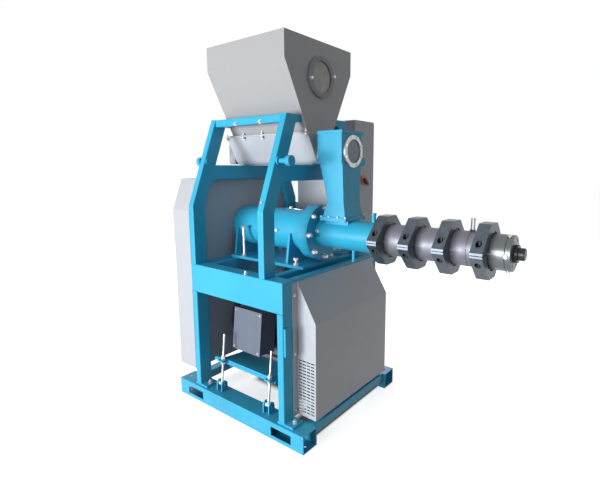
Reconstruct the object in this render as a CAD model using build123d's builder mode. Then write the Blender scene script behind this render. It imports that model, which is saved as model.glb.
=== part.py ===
from build123d import *
import math
import os

# Feed extruder on a fork-lift skid, in millimetres.
# X runs along the barrel towards the die, Y runs from the operator's side to the cabinet,
# Z is up. The origin lies on the floor under the middle of the skid.

os.makedirs("parts", exist_ok=True)

# Fits
seat_gap = 0.3
pin_clearance = 0.3
spindle_clearance = 0.06

# Skid rails
rail_length = 1215
rail_height = 116
rail_width = 130
rail_wall = 6
skid_width = 1112
fork_spacing = 848
fork_slot_width = 168
fork_slot_height = 58
fork_slot_base = 24
anchor_hole = 18
anchor_inset = 40.5
cross_beam_x = 548
cross_beam_width = 80
cross_beam_height = 60

# Frame posts and beams
tube_width = 50
tube_depth = 100
tube_corner = 6
left_post_x = -406
right_post_x = 418
frame_setback = 16
deck_height = 1024
mid_beam_height = 198
deck_beam_height = 100
deck_beam_left_x = -330
right_arch_x = 271
foot_thickness = 14
foot_back = 10
foot_tab = 70
post_plate_width = 40
post_plate_thickness = 15
post_plate_base = 565
post_plate_top = 741

# Arches
knee_rise = 412
arch_lean = 0.375
arch_leg_rise = 594
arch_beam_rise = 278
arch_beam_depth = 103
arch_fillet = 85
stub_depth = 45
top_beam_size = 50
top_beam_drop = 2
trunnion_rise = 23
trunnion_inset = 30
trunnion_flange = 56
trunnion_flange_depth = 12
trunnion_neck = 32
trunnion_neck_length = 62
trunnion_head = 64
trunnion_head_length = 34
trunnion_left_neck_length = 8
trunnion_stub = 45
trunnion_stub_length = 10

# Hopper
hopper_left = -405
hopper_right = 315
hopper_rim_height = 161
hopper_slope_height = 426
hopper_half_depth = 353
hopper_slope = 0.5135
sheet = 4
flange_rise = 146
flange_thickness = 6
flange_margin = 25
hopper_flange_left = -475
hopper_flange_right = 325
window_drop = 66
window_outer = 265
window_sight = 200
window_depth = 16
glass_thickness = 8
glass_lip = 8

# Feeder trough
trough_left = -470
trough_right = 320
trough_radius = 62
feeder_tube_outer = 110
feeder_tube_wall = 4
bearing_outer = 96
bearing_depth = 16
gearbox_length = 74
gearbox_width = 108
gearbox_rise = 104
gearbox_corner = 14

# Chute
chute_left = 380
chute_right = 568
chute_half_depth = 118
chute_rise = 150
chute_lip_height = 18
chute_lip = 6
chute_step_drop = 54
chute_step_left = 392
chute_step_half_depth = 108
chute_foot_height = 102
chute_neck_left = 442
chute_neck_half_depth = 94
inlet_left = 411
inlet_right = 587
inlet_half_depth = 104
inlet_rise = 124
inlet_flange_thickness = 12
inlet_flange_margin = 14
chute_window_rise = 21
chute_window_outer = 205
chute_window_sight = 152
inlet_pocket_rise = 58
inlet_neck_half_depth = 68

# Extruder axis, bearing housing and supports
housing_clearance = 20
support_plate_thickness = 20
support_plate_left = -390
support_plate_right = 330
support_plate_half_depth = 215
housing_outer = 295
housing_right = 255
housing_step = 8
housing_flange_outer = 380
housing_flange_depth = 65
feed_flange_depth = 20
saddle_thickness = 18
saddle_left_x = -363
saddle_right_x = 163
saddle_base_half = 190
saddle_tip_half = 160
saddle_tip_drop = 6
tie_bolt = 20
tie_bolt_y = 200
tie_bolt_left_x = -250
tie_bolt_right_x = 256
tie_bolt_left_length = 227
tie_bolt_right_length = 52
tie_nut = 32
tie_nut_height = 16

# Feed tube and barrel
feed_tube_outer = 198
feed_tube_right = 832
clamp_pitch = 202
chamber_outer = 195
collar_outer = 222
collar_width = 24
clamp_width = 66
clamp_half_height = 150
clamp_half_flat = 56
clamp_half_width = 191
clamp_nose = 15
clamp_split = 4
clamp_lip_bore = 214
clamp_corner = 24
clamp_nose_corner = 8
clamp_bolt_y = 150
clamp_bolt_hole = 17
clamp_bolt_sink = 30
clamp_bolt_seat = 26
probe_diameter = 8
probe_x = (1349, 1365)
probe_rise = 170
probe_nut = 15
probe_nut_height = 9
probe_groove_width = 5
probe_groove_depth = 3
filler_x = 737
filler_outer = 28
filler_rise = 156
filler_cap = 34
filler_cap_height = 12
drain_x = 587
drain_outer = 20
drain_drop = 76

# Die end
die_head_outer = 193
die_head_right = 1549
die_ring_depth = 29
die_chamfer = 2.5
plug_collar_outer = 95
plug_collar_depth = 19
plug_outer = 67
plug_depth = 33
plug_chamfer = 4
die_pin = 14
die_pin_circle = 150
die_pin_depth = 5

# Motor and its adjustable plate, which tilts about its rear hinge to tension the belts
plate_tilt = 6
motor_shaft_height = 225
motor_left = -350
drive_flange_outer = 466
drive_flange_depth = 14
motor_right = 430
stator_outer = 398
fin_height = 21
fin_width = 5
fin_count = 40
shield_outer = 446
shield_depth = 34
cowl_outer = 444
cowl_left = 300
shaft_outer = 60
foot_pad_length = 330
foot_pad_spacing = 356
foot_pad_width = 84
foot_pad_height = 24
foot_web = 40
terminal_left = -215
terminal_right = 61
terminal_front = 385
terminal_back = 235
terminal_drop = 157
terminal_height = 305
terminal_lid = 8
terminal_lid_margin = 4
terminal_pad = 150
plate_left = -240
plate_right = 255
plate_front_margin = 20
plate_back_margin = 21
plate_thickness = 12
plate_rise = 125
rib_depth = 60
rib_thickness = 14
rib_left_x = -204
rib_right_x = 75
bar_outer = 28
bar_left = -330
bar_right = 282
bar_inset = 18
stud_spacing = 464
stud_middle_x = 23
stud_offset = 6
stud_outer = 16
stud_length = 361
lug_width = 50
lug_reach = 28
lug_hole = 18
nut_flats = 27
nut_height = 15
eye_rise = 50
eye_outer = 34
ear_spacing = 58
ear_thickness = 10
ear_width = 52
ear_pin = 12
ear_pin_end = 6
hinge_bracket_gap = 4
hinge_bracket_thickness = 12
hinge_bracket_width = 60
hinge_bar_end = 14

# Covers
guard_left = -622
guard_base = 235
guard_knee_drop = 36
guard_lean_height = 218
guard_edge = 10
cover_left = 446
cover_right = 590
cover_front_margin = 45
cover_back_margin = 35
cover_base = 138
cover_slope_height = 246
cover_drop = 15
cover_flange = 3
cover_flange_front_inset = 85
cover_flange_back_inset = 55
cover_flange_drop = 4
slot_columns = 4
slot_rows = 17
slot_pitch_x = 33
slot_pitch_z = 21
slot_width = 27
slot_height = 8
slot_inset_x = 75
slot_rise = 200

# Cabinet
cabinet_left = -374
cabinet_right = 226
cabinet_gap = 20
cabinet_depth = 282
cabinet_base = 865
cabinet_top = 2065
cabinet_corner = 3
door_margin = 8
door_depth = 18
cabinet_rail_height = 60
cabinet_rail_low = 900
cabinet_rail_high = 1336
switch_inset = 130
switch_height = 1594
switch_plate_width = 80
switch_plate_height = 70
switch_plate_depth = 8
switch_spindle = 12
switch_hub = 30
switch_hub_depth = 12
switch_grip_length = 64
switch_grip_width = 17
switch_grip_depth = 16
switch_turn = -47

# Derived places
rail_y = (skid_width - rail_width) / 2
rail_inner = skid_width / 2 - rail_width
frame_width = skid_width - 2 * frame_setback
post_y = (frame_width - tube_depth) / 2
frame_inner = frame_width / 2 - tube_depth
foot_top = rail_height + foot_thickness
left_post_face = left_post_x - tube_width / 2
right_post_face = right_post_x + tube_width / 2
left_arch_x = left_post_x
lean_length = math.hypot(1, arch_lean)
knee_height = deck_height + knee_rise
arch_top = knee_height + arch_leg_rise
arch_beam_top = knee_height + arch_beam_rise
trunnion_height = arch_beam_top + trunnion_rise
trough_axis = arch_beam_top + seat_gap + trough_radius
flange_level = trough_axis + flange_rise
hopper_fold = flange_level + hopper_slope_height
hopper_top = hopper_fold + hopper_rim_height
window_height = hopper_fold - window_drop
gearbox_top = trough_axis + gearbox_rise
chute_top = trough_axis + chute_rise
chute_step_level = trough_axis - chute_step_drop
chute_window_height = trough_axis + chute_window_rise
axis_height = deck_height + support_plate_thickness + housing_flange_outer / 2 + housing_clearance
inlet_flange_top = axis_height + inlet_rise
inlet_pocket_floor = axis_height + inlet_pocket_rise
chute_neck_level = inlet_flange_top + chute_foot_height
plate_top = rail_height + plate_rise
plate_base = plate_top - plate_thickness
motor_axis = plate_top + motor_shaft_height
eye_y = stud_offset - rail_y
eye_height = rail_height + eye_rise
plate_back = rail_y - plate_back_margin
hinge_y = plate_back - bar_inset
hinge_height = plate_base - bar_outer / 2 - seat_gap
hinge_line = Axis((0, hinge_y, hinge_height), (1, 0, 0))
tilt_sine = math.sin(math.radians(plate_tilt))
tilt_cosine = math.cos(math.radians(plate_tilt))
stud_y = -hinge_y - (eye_y - hinge_y) * tilt_cosine + (eye_height - hinge_height) * tilt_sine
stud_foot = hinge_height + (eye_y - hinge_y) * tilt_sine + (eye_height - hinge_height) * tilt_cosine
plate_front = stud_y - plate_front_margin
terminal_base = motor_axis - terminal_drop
terminal_top = terminal_base + terminal_height
guard_knee = knee_height - guard_knee_drop
guard_top = guard_knee + guard_lean_height
cover_flange_front = -frame_width / 2 + cover_flange_front_inset
cover_flange_back = frame_width / 2 - cover_flange_back_inset
cover_front = cover_flange_front + cover_front_margin
cover_back = cover_flange_back - cover_back_margin
cover_top = deck_height - cover_drop
cover_knee = cover_top - cover_slope_height
cover_flange_top = cover_top - cover_flange_drop
cabinet_front = frame_width / 2 + cabinet_gap
cabinet_back = cabinet_front + cabinet_depth
switch_y = cabinet_front + switch_inset
hopper_flange_half = hopper_half_depth - hopper_slope * (hopper_fold - flange_level)
collar_radius = collar_outer / 2


def arch_outer(z):
    """Distance of the arch leg's outer face from the middle plane at height z."""
    return frame_width / 2 - max(0, z - knee_height) * arch_lean


def arch_inner(z):
    """Distance of the arch leg's inner face from the middle plane at height z."""
    return min(frame_inner, arch_outer(knee_height) - (z - knee_height) * arch_lean - tube_depth * lean_length)


def hopper_wall(z):
    """Distance of the hopper's or trough's sloping wall from the middle plane."""
    return hopper_flange_half + (z - flange_level) * hopper_slope


def mirrored(points):
    """The points followed by their reflections, so that the outline closes."""
    return points + [(-y, z) for y, z in reversed(points)]


# Skid rails with fork pockets and anchor holes
with BuildPart() as skid_rails:
    with BuildSketch(Plane.YZ.offset(-rail_length / 2)):
        with Locations((-rail_y, rail_height / 2)):
            Rectangle(rail_width, rail_height)
            Rectangle(rail_width - 2 * rail_wall, rail_height - 2 * rail_wall, mode=Mode.SUBTRACT)
    extrude(amount=rail_length)
    with BuildSketch(Plane.XZ.offset(skid_width / 2)):
        with Locations((0, fork_slot_base + fork_slot_height / 2)):
            with GridLocations(fork_spacing, 0, 2, 1):
                Rectangle(fork_slot_width, fork_slot_height)
    extrude(amount=-rail_width, mode=Mode.SUBTRACT)
    with BuildSketch(Plane.XY):
        with Locations((0, -rail_y)):
            with GridLocations(rail_length - 2 * anchor_inset, 0, 2, 1):
                Circle(anchor_hole / 2)
    extrude(amount=rail_height, mode=Mode.SUBTRACT)
    mirror(about=Plane.XZ)
skid_rails.part.label = "skid_rails"
export_step(skid_rails.part, "parts/skid_rails.step")

# Box beams between the rails, flush with the rail tops
with BuildPart() as base_cross_beams:
    with BuildSketch(Plane.XZ.offset(rail_inner)):
        with Locations((0, rail_height - cross_beam_height / 2)):
            with GridLocations(2 * cross_beam_x, 0, 2, 1):
                RectangleRounded(cross_beam_width, cross_beam_height, tube_corner)
    extrude(amount=-2 * rail_inner)
base_cross_beams.part.label = "base_cross_beams"
export_step(base_cross_beams.part, "parts/base_cross_beams.step")

# Foot plates under the posts, each with a bolted tab towards the die, and a flat bar
# on the right front post beside the motor cover
foot_length = foot_back + tube_width + foot_tab
foot_shift = foot_length / 2 - foot_back - tube_width / 2
with BuildPart() as frame_plates:
    with BuildSketch(Plane.XY.offset(rail_height)):
        for post_x in (left_post_x, right_post_x):
            with Locations((post_x + foot_shift, 0)):
                with GridLocations(0, 2 * post_y, 1, 2):
                    Rectangle(foot_length, tube_depth)
    extrude(amount=foot_thickness)
    with BuildSketch(Plane.YZ.offset(right_post_face)):
        with Locations((-frame_width / 2 + tube_corner, (post_plate_base + post_plate_top) / 2)):
            Rectangle(post_plate_width, post_plate_top - post_plate_base, align=(Align.MIN, Align.CENTER))
    extrude(amount=post_plate_thickness)
frame_plates.part.label = "frame_plates"
export_step(frame_plates.part, "parts/frame_plates.step")

# Posts
with BuildPart() as posts:
    with BuildSketch(Plane.XY.offset(foot_top)):
        with Locations((left_post_x, -post_y), (right_post_x, -post_y)):
            RectangleRounded(tube_width, tube_depth, tube_corner)
    extrude(amount=deck_height - mid_beam_height - foot_top)
    mirror(about=Plane.XZ)
posts.part.label = "posts"
export_step(posts.part, "parts/posts.step")

# Deck beams: the long ones lie over the posts
mid_beam_left = left_post_x - tube_width / 2
mid_beam_right = right_post_x + tube_width / 2
with BuildPart() as mid_beams:
    with BuildSketch(Plane.YZ.offset(mid_beam_left)):
        with Locations((-post_y, deck_height - mid_beam_height / 2)):
            RectangleRounded(tube_depth, mid_beam_height, tube_corner)
    extrude(amount=mid_beam_right - mid_beam_left)
    mirror(about=Plane.XZ)
mid_beams.part.label = "mid_beams"
export_step(mid_beams.part, "parts/mid_beams.step")

with BuildPart() as deck_beams:
    with BuildSketch(Plane.XZ.offset(frame_inner)):
        with Locations(
            (left_post_x, deck_height - mid_beam_height / 2),
            (right_post_x, deck_height - mid_beam_height / 2),
        ):
            RectangleRounded(tube_width, mid_beam_height, tube_corner)
        with Locations(
            (deck_beam_left_x, deck_height - deck_beam_height / 2),
            (right_arch_x, deck_height - deck_beam_height / 2),
        ):
            RectangleRounded(tube_width, deck_beam_height, tube_corner)
    extrude(amount=-2 * frame_inner)
deck_beams.part.label = "deck_beams"
export_step(deck_beams.part, "parts/deck_beams.step")

# Bent arches: upright legs, a knee, legs leaning inwards, a cross-beam and stubs that hold the hopper
inner_knee = knee_height - (tube_depth * lean_length - tube_depth) / arch_lean
arch_beam_base = arch_beam_top - arch_beam_depth
stub_base = arch_top - stub_depth
arch_half = [
    (0, arch_beam_top),
    (-arch_inner(arch_beam_top), arch_beam_top),
    (-arch_inner(stub_base), stub_base),
    (-hopper_wall(stub_base) - seat_gap, stub_base),
    (-hopper_wall(arch_top) - seat_gap, arch_top),
    (-arch_outer(arch_top), arch_top),
    (-arch_outer(knee_height), knee_height),
    (-frame_width / 2, deck_height),
    (-frame_inner, deck_height),
    (-frame_inner, inner_knee),
    (-arch_inner(arch_beam_base), arch_beam_base),
    (0, arch_beam_base),
]
with BuildPart() as left_arch:
    with BuildSketch(Plane.YZ.offset(left_arch_x - tube_width / 2)) as arch_outline:
        with BuildLine():
            Polyline(*arch_half)
            mirror(about=Plane.YZ)
        make_face()
        corners = arch_outline.vertices().filter_by_position(Axis.Y, arch_beam_base - 1, arch_beam_base + 1)
        fillet(corners.sort_by(Axis.X)[0], radius=arch_fillet)
        corners = arch_outline.vertices().filter_by_position(Axis.Y, arch_beam_base - 1, arch_beam_base + 1)
        fillet(corners.sort_by(Axis.X)[-1], radius=arch_fillet)
    extrude(amount=tube_width)
    flat_faces = left_arch.faces().filter_by(Axis.X)
    fillet(flat_faces.edges(), radius=tube_corner - 1)
left_arch.part.label = "left_arch"
export_step(left_arch.part, "parts/left_arch.step")

with BuildPart() as right_arch:
    with Locations((right_arch_x - left_arch_x, 0, 0)):
        add(left_arch.part)
right_arch.part.label = "right_arch"
export_step(right_arch.part, "parts/right_arch.step")

# Long beams between the arch tops
top_beam_outer = arch_outer(arch_top)
with BuildPart() as top_beams:
    with BuildSketch(Plane.YZ.offset(left_arch_x + tube_width / 2)):
        with Locations((0, arch_top - top_beam_drop - top_beam_size / 2)):
            with GridLocations(0, 0, 1, 1):
                with Locations((-top_beam_outer + top_beam_size / 2, 0), (top_beam_outer - top_beam_size / 2, 0)):
                    RectangleRounded(top_beam_size, top_beam_size, tube_corner)
    extrude(amount=right_arch_x - left_arch_x - tube_width)
top_beams.part.label = "top_beams"
export_step(top_beams.part, "parts/top_beams.step")

# Lifting trunnions, turned stubs welded to the outer sides of the arches; the left ones
# come through on the inner side
trunnion_y = arch_outer(trunnion_height) - trunnion_inset
with BuildPart() as lifting_trunnions:
    for side in (-1, 1):
        with BuildSketch(Plane.XZ.offset(side * trunnion_y)):
            with BuildLine():
                start = right_arch_x + tube_width / 2
                neck = start + trunnion_flange_depth
                head = neck + trunnion_neck_length
                end = head + trunnion_head_length
                Polyline(
                    (start, trunnion_height),
                    (start, trunnion_height + trunnion_flange / 2),
                    (neck, trunnion_height + trunnion_flange / 2),
                    (neck, trunnion_height + trunnion_neck / 2),
                    (head, trunnion_height + trunnion_neck / 2),
                    (head, trunnion_height + trunnion_head / 2),
                    (end, trunnion_height + trunnion_head / 2),
                    (end, trunnion_height),
                    close=True,
                )
            make_face()
        revolve(axis=Axis((0, -side * trunnion_y, trunnion_height), (1, 0, 0)))
        with BuildSketch(Plane.XZ.offset(side * trunnion_y)):
            with BuildLine():
                start = left_arch_x - tube_width / 2
                head = start - trunnion_left_neck_length
                end = head - trunnion_head_length
                Polyline(
                    (start, trunnion_height),
                    (start, trunnion_height + trunnion_neck / 2),
                    (head, trunnion_height + trunnion_neck / 2),
                    (head, trunnion_height + trunnion_head / 2),
                    (end, trunnion_height + trunnion_head / 2),
                    (end, trunnion_height),
                    close=True,
                )
            make_face()
        revolve(axis=Axis((0, -side * trunnion_y, trunnion_height), (1, 0, 0)))
        with BuildSketch(Plane.YZ.offset(left_arch_x + tube_width / 2)):
            with Locations((-side * trunnion_y, trunnion_height)):
                Circle(trunnion_stub / 2)
        extrude(amount=trunnion_stub_length)
lifting_trunnions.part.label = "lifting_trunnions"
export_step(lifting_trunnions.part, "parts/lifting_trunnions.step")

# Hopper: a welded sheet shell with upright ends and sloping sides, standing on a flange
hopper_profile = [
    (-hopper_flange_half, flange_level),
    (-hopper_half_depth, hopper_fold),
    (-hopper_half_depth, hopper_top),
]
with BuildPart() as hopper_shell:
    with BuildSketch(Plane.YZ.offset(hopper_left)):
        with BuildLine():
            Polyline(*mirrored(hopper_profile), close=True)
        make_face()
    extrude(amount=hopper_right - hopper_left)
    openings = hopper_shell.faces().filter_by(Axis.Z).sort_by(Axis.Z)
    offset(amount=-sheet, openings=[openings[0], openings[-1]])
    with BuildSketch(Plane.XY.offset(flange_level)):
        with Locations(((hopper_flange_left + hopper_flange_right) / 2, 0)):
            Rectangle(hopper_flange_right - hopper_flange_left, 2 * (hopper_flange_half + flange_margin))
        with Locations(((hopper_left + hopper_right) / 2, 0)):
            Rectangle(hopper_right - hopper_left - sheet, 2 * hopper_flange_half - sheet, mode=Mode.SUBTRACT)
    extrude(amount=flange_thickness)
    with BuildSketch(Plane.YZ.offset(hopper_right)):
        with Locations((0, window_height)):
            Circle(window_sight / 2)
    extrude(amount=-sheet, mode=Mode.SUBTRACT)

# The shell's weld seams: two folded side sheets stand between two end plates
with BuildPart() as between_ends:
    with BuildSketch(Plane.XY.offset(flange_level)):
        with Locations(((hopper_left + hopper_right) / 2, 0)):
            Rectangle(hopper_right - hopper_left - 2 * sheet, 2 * (hopper_half_depth + flange_margin))
    extrude(amount=hopper_top - flange_level)

with BuildPart() as hopper:
    add(hopper_shell.part)
    add(between_ends.part, mode=Mode.INTERSECT)
hopper.part.label = "hopper"
export_step(hopper.part, "parts/hopper.step")

with BuildPart() as hopper_ends:
    add(hopper_shell.part)
    add(between_ends.part, mode=Mode.SUBTRACT)
hopper_ends.part.label = "hopper_ends"
export_step(hopper_ends.part, "parts/hopper_ends.step")

# Feeder trough: the hopper's walls run on into a round bottom
wall_angle = math.atan(hopper_slope)
tangent_y = trough_radius * math.cos(wall_angle)
tangent_z = trough_axis - trough_radius * math.sin(wall_angle)
trough_mouth_half = tangent_y + (flange_level - tangent_z) * hopper_slope
with BuildPart() as feeder_trough:
    with BuildSketch(Plane.YZ.offset(trough_left)):
        with BuildLine():
            Line((-trough_mouth_half, flange_level), (-tangent_y, tangent_z))
            ThreePointArc((-tangent_y, tangent_z), (0, trough_axis - trough_radius), (tangent_y, tangent_z))
            Line((tangent_y, tangent_z), (trough_mouth_half, flange_level))
            Line((trough_mouth_half, flange_level), (-trough_mouth_half, flange_level))
        make_face()
    extrude(amount=trough_right - trough_left)
    offset(amount=-sheet, openings=[feeder_trough.faces().filter_by(Axis.Z).sort_by(Axis.Z)[-1]])
    with BuildSketch(Plane.XY.offset(flange_level)):
        with Locations(((hopper_flange_left + hopper_flange_right) / 2, 0)):
            Rectangle(hopper_flange_right - hopper_flange_left, 2 * (hopper_flange_half + flange_margin))
        with Locations(((trough_left + trough_right) / 2, 0)):
            Rectangle(trough_right - trough_left - sheet, 2 * trough_mouth_half - 2 * sheet, mode=Mode.SUBTRACT)
    extrude(amount=-flange_thickness)
    with BuildSketch(Plane.YZ.offset(trough_right)):
        with Locations((0, trough_axis)):
            Circle(feeder_tube_outer / 2 - feeder_tube_wall)
    extrude(amount=-sheet, mode=Mode.SUBTRACT)
feeder_trough.part.label = "feeder_trough"
export_step(feeder_trough.part, "parts/feeder_trough.step")

# Round duct from the trough to the chute
with BuildPart() as feeder_tube:
    with BuildSketch(Plane.YZ.offset(trough_right)):
        with Locations((0, trough_axis)):
            Circle(feeder_tube_outer / 2)
            Circle(feeder_tube_outer / 2 - feeder_tube_wall, mode=Mode.SUBTRACT)
    extrude(amount=chute_left - trough_right)
feeder_tube.part.label = "feeder_tube"
export_step(feeder_tube.part, "parts/feeder_tube.step")

# Gearmotor of the feeder screw, with its round bearing flange against the trough's end
with BuildPart() as feeder_gearmotor:
    with BuildSketch(Plane.YZ.offset(trough_left)):
        with Locations((0, trough_axis)):
            Circle(bearing_outer / 2)
    extrude(amount=-bearing_depth)
    with BuildSketch(Plane.YZ.offset(trough_left - bearing_depth)):
        with Locations((0, (gearbox_top + trough_axis - gearbox_width / 2) / 2)):
            RectangleRounded(gearbox_width, gearbox_top - trough_axis + gearbox_width / 2, gearbox_corner)
    extrude(amount=-gearbox_length)
    chamfer(feeder_gearmotor.faces().sort_by(Axis.X)[0].edges(), length=gearbox_corner / 2)
feeder_gearmotor.part.label = "feeder_gearmotor"
export_step(feeder_gearmotor.part, "parts/feeder_gearmotor.step")


def chute_section(level, left, right, half_depth):
    """Rectangular section of the chute at one level."""
    with BuildSketch(Plane.XY.offset(level)) as section_sketch:
        with Locations(((left + right) / 2, 0)):
            Rectangle(right - left, 2 * half_depth)
    return section_sketch.sketch


def chute_side(wall, top, bottom):
    """Side outline of the chute in X and Z, drawn inside the outer faces by a wall."""
    return [
        (chute_left + wall, top),
        (chute_left + wall, chute_step_level),
        (chute_step_left + wall, chute_step_level),
        (chute_neck_left + wall, chute_neck_level),
        (inlet_left + wall, inlet_flange_top),
        (inlet_left + wall, bottom),
        (inlet_right - wall, bottom),
        (inlet_right - wall, inlet_flange_top),
        (chute_right - wall, chute_neck_level),
        (chute_right - wall, top),
    ]


def chute_front(wall, top, bottom):
    """Half of the chute's front outline in Y and Z, drawn inside the outer faces by a wall."""
    return [
        (-inlet_half_depth + wall, bottom),
        (-inlet_half_depth + wall, inlet_flange_top),
        (-chute_neck_half_depth + wall, chute_neck_level),
        (-chute_step_half_depth + wall, chute_step_level),
        (-chute_half_depth + wall, chute_step_level),
        (-chute_half_depth + wall, top),
    ]


# The chute's hollow, where the side outline crosses the front outline
chute_foot_base = inlet_flange_top - inlet_flange_thickness
with BuildPart() as chute_hollow:
    with BuildSketch(Plane.XZ.offset(-chute_half_depth)):
        with BuildLine():
            Polyline(*chute_side(sheet, chute_top - sheet, chute_foot_base), close=True)
        make_face()
    extrude(amount=2 * chute_half_depth)
    with BuildSketch(Plane.YZ.offset(chute_left)):
        with BuildLine():
            Polyline(*mirrored(chute_front(sheet, chute_top - sheet, chute_foot_base)), close=True)
        make_face()
    extrude(amount=inlet_right - chute_left, mode=Mode.INTERSECT)

# Chute: a square head, a tapering body, a narrow neck and a flared foot on a bolted flange
with BuildPart() as chute:
    with BuildSketch(Plane.XZ.offset(-chute_half_depth)):
        with BuildLine():
            Polyline(*chute_side(0, chute_top, chute_foot_base), close=True)
        make_face()
    extrude(amount=2 * chute_half_depth)
    with BuildSketch(Plane.YZ.offset(chute_left)):
        with BuildLine():
            Polyline(*mirrored(chute_front(0, chute_top, chute_foot_base)), close=True)
        make_face()
    extrude(amount=inlet_right - chute_left, mode=Mode.INTERSECT)
    extrude(
        chute_section(
            chute_top - chute_lip_height,
            chute_left,
            chute_right + chute_lip,
            chute_half_depth + chute_lip,
        ),
        amount=chute_lip_height,
    )
    extrude(
        chute_section(
            inlet_flange_top,
            inlet_left - inlet_flange_margin,
            inlet_right + inlet_flange_margin,
            inlet_half_depth + inlet_flange_margin,
        ),
        amount=-inlet_flange_thickness,
    )
    add(chute_hollow.part, mode=Mode.SUBTRACT)
    with BuildSketch(Plane.YZ.offset(chute_left)):
        with Locations((0, trough_axis)):
            Circle(feeder_tube_outer / 2 - feeder_tube_wall)
    extrude(amount=sheet, mode=Mode.SUBTRACT)
    with BuildSketch(Plane.YZ.offset(chute_right)):
        with Locations((0, chute_window_height)):
            Circle(chute_window_sight / 2)
    extrude(amount=-sheet, mode=Mode.SUBTRACT)
chute.part.label = "chute"
export_step(chute.part, "parts/chute.step")

# Round sight windows: a turned ring with a rebate that traps the glass against the wall
hopper_sight = (hopper_right, window_height, window_outer, window_sight)
chute_sight = (chute_right, chute_window_height, chute_window_outer, chute_window_sight)
with BuildPart() as sight_windows:
    for wall_x, ring_height, ring_outer, sight in (hopper_sight, chute_sight):
        with BuildSketch(Plane.YZ.offset(wall_x)):
            with Locations((0, ring_height)):
                Circle(ring_outer / 2)
                Circle(sight / 2, mode=Mode.SUBTRACT)
        extrude(amount=window_depth)
        rim = sight_windows.faces().filter_by_position(Axis.X, wall_x + 10, wall_x + 99).edges()
        chamfer(rim.sort_by(SortBy.RADIUS)[-1], length=3)
        with BuildSketch(Plane.YZ.offset(wall_x)):
            with Locations((0, ring_height)):
                Circle(sight / 2 + glass_lip + seat_gap)
        extrude(amount=glass_thickness, mode=Mode.SUBTRACT)
sight_windows.part.label = "sight_windows"
export_step(sight_windows.part, "parts/sight_windows.step")

with BuildPart() as sight_glasses:
    for wall_x, ring_height, ring_outer, sight in (hopper_sight, chute_sight):
        with BuildSketch(Plane.YZ.offset(wall_x)):
            with Locations((0, ring_height)):
                Circle(sight / 2 + glass_lip)
        extrude(amount=glass_thickness)
sight_glasses.part.label = "sight_glasses"
export_step(sight_glasses.part, "parts/sight_glasses.step")

# Support plate on the deck beams
with BuildPart() as support_plate:
    with BuildSketch(Plane.XY.offset(deck_height)):
        with Locations(((support_plate_left + support_plate_right) / 2, 0)):
            Rectangle(support_plate_right - support_plate_left, 2 * support_plate_half_depth)
    extrude(amount=support_plate_thickness)
support_plate.part.label = "support_plate"
export_step(support_plate.part, "parts/support_plate.step")

# Bearing housing: a turned drum with a shallow step and a bolted end flange
housing_left = left_post_face
housing_radius = housing_outer / 2
flange_radius = housing_flange_outer / 2
housing_end = housing_right + housing_flange_depth
extruder_line = Axis((0, 0, axis_height), (1, 0, 0))
with BuildPart() as bearing_housing:
    with BuildSketch(Plane.XZ):
        with BuildLine():
            Polyline(
                (housing_left, axis_height),
                (housing_left, axis_height + housing_radius - housing_step),
                (housing_left + housing_step, axis_height + housing_radius),
                (housing_right, axis_height + housing_radius),
                (housing_right, axis_height + flange_radius),
                (housing_end, axis_height + flange_radius),
                (housing_end, axis_height),
                close=True,
            )
        make_face()
    revolve(axis=extruder_line)
bearing_housing.part.label = "bearing_housing"
export_step(bearing_housing.part, "parts/bearing_housing.step")

# Saddles: cradle plates under the housing
saddle_base = deck_height + support_plate_thickness
saddle_tip = axis_height - saddle_tip_drop
with BuildPart() as saddles:
    for saddle_x in (saddle_left_x, saddle_right_x):
        with BuildSketch(Plane.YZ.offset(saddle_x - saddle_thickness / 2)):
            with BuildLine():
                Polyline(
                    (-saddle_base_half, saddle_base),
                    (-saddle_tip_half, saddle_tip),
                    (saddle_tip_half, saddle_tip),
                    (saddle_base_half, saddle_base),
                    close=True,
                )
            make_face()
            with Locations((0, axis_height)):
                Circle(housing_radius + seat_gap, mode=Mode.SUBTRACT)
        extrude(amount=saddle_thickness)
saddles.part.label = "saddles"
export_step(saddles.part, "parts/saddles.step")

# Tie bolts through the support plate's corners, each a stud with a hexagon head
with BuildPart() as tie_bolts:
    for bolt_x, bolt_length in ((tie_bolt_left_x, tie_bolt_left_length), (tie_bolt_right_x, tie_bolt_right_length)):
        with BuildSketch(Plane.XY.offset(saddle_base)):
            with Locations((bolt_x, -tie_bolt_y), (bolt_x, tie_bolt_y)):
                Circle(tie_bolt / 2)
        extrude(amount=bolt_length)
        with BuildSketch(Plane.XY.offset(saddle_base)):
            with Locations((bolt_x, -tie_bolt_y), (bolt_x, tie_bolt_y)):
                RegularPolygon(tie_nut / 2, 6, major_radius=False)
        extrude(amount=tie_nut_height)
        with BuildSketch(Plane.XY.offset(saddle_base + bolt_length - tie_nut_height)):
            with Locations((bolt_x, -tie_bolt_y), (bolt_x, tie_bolt_y)):
                RegularPolygon(tie_nut / 2, 6, major_radius=False)
        extrude(amount=tie_nut_height)
tie_bolts.part.label = "tie_bolts"
export_step(tie_bolts.part, "parts/tie_bolts.step")

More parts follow.
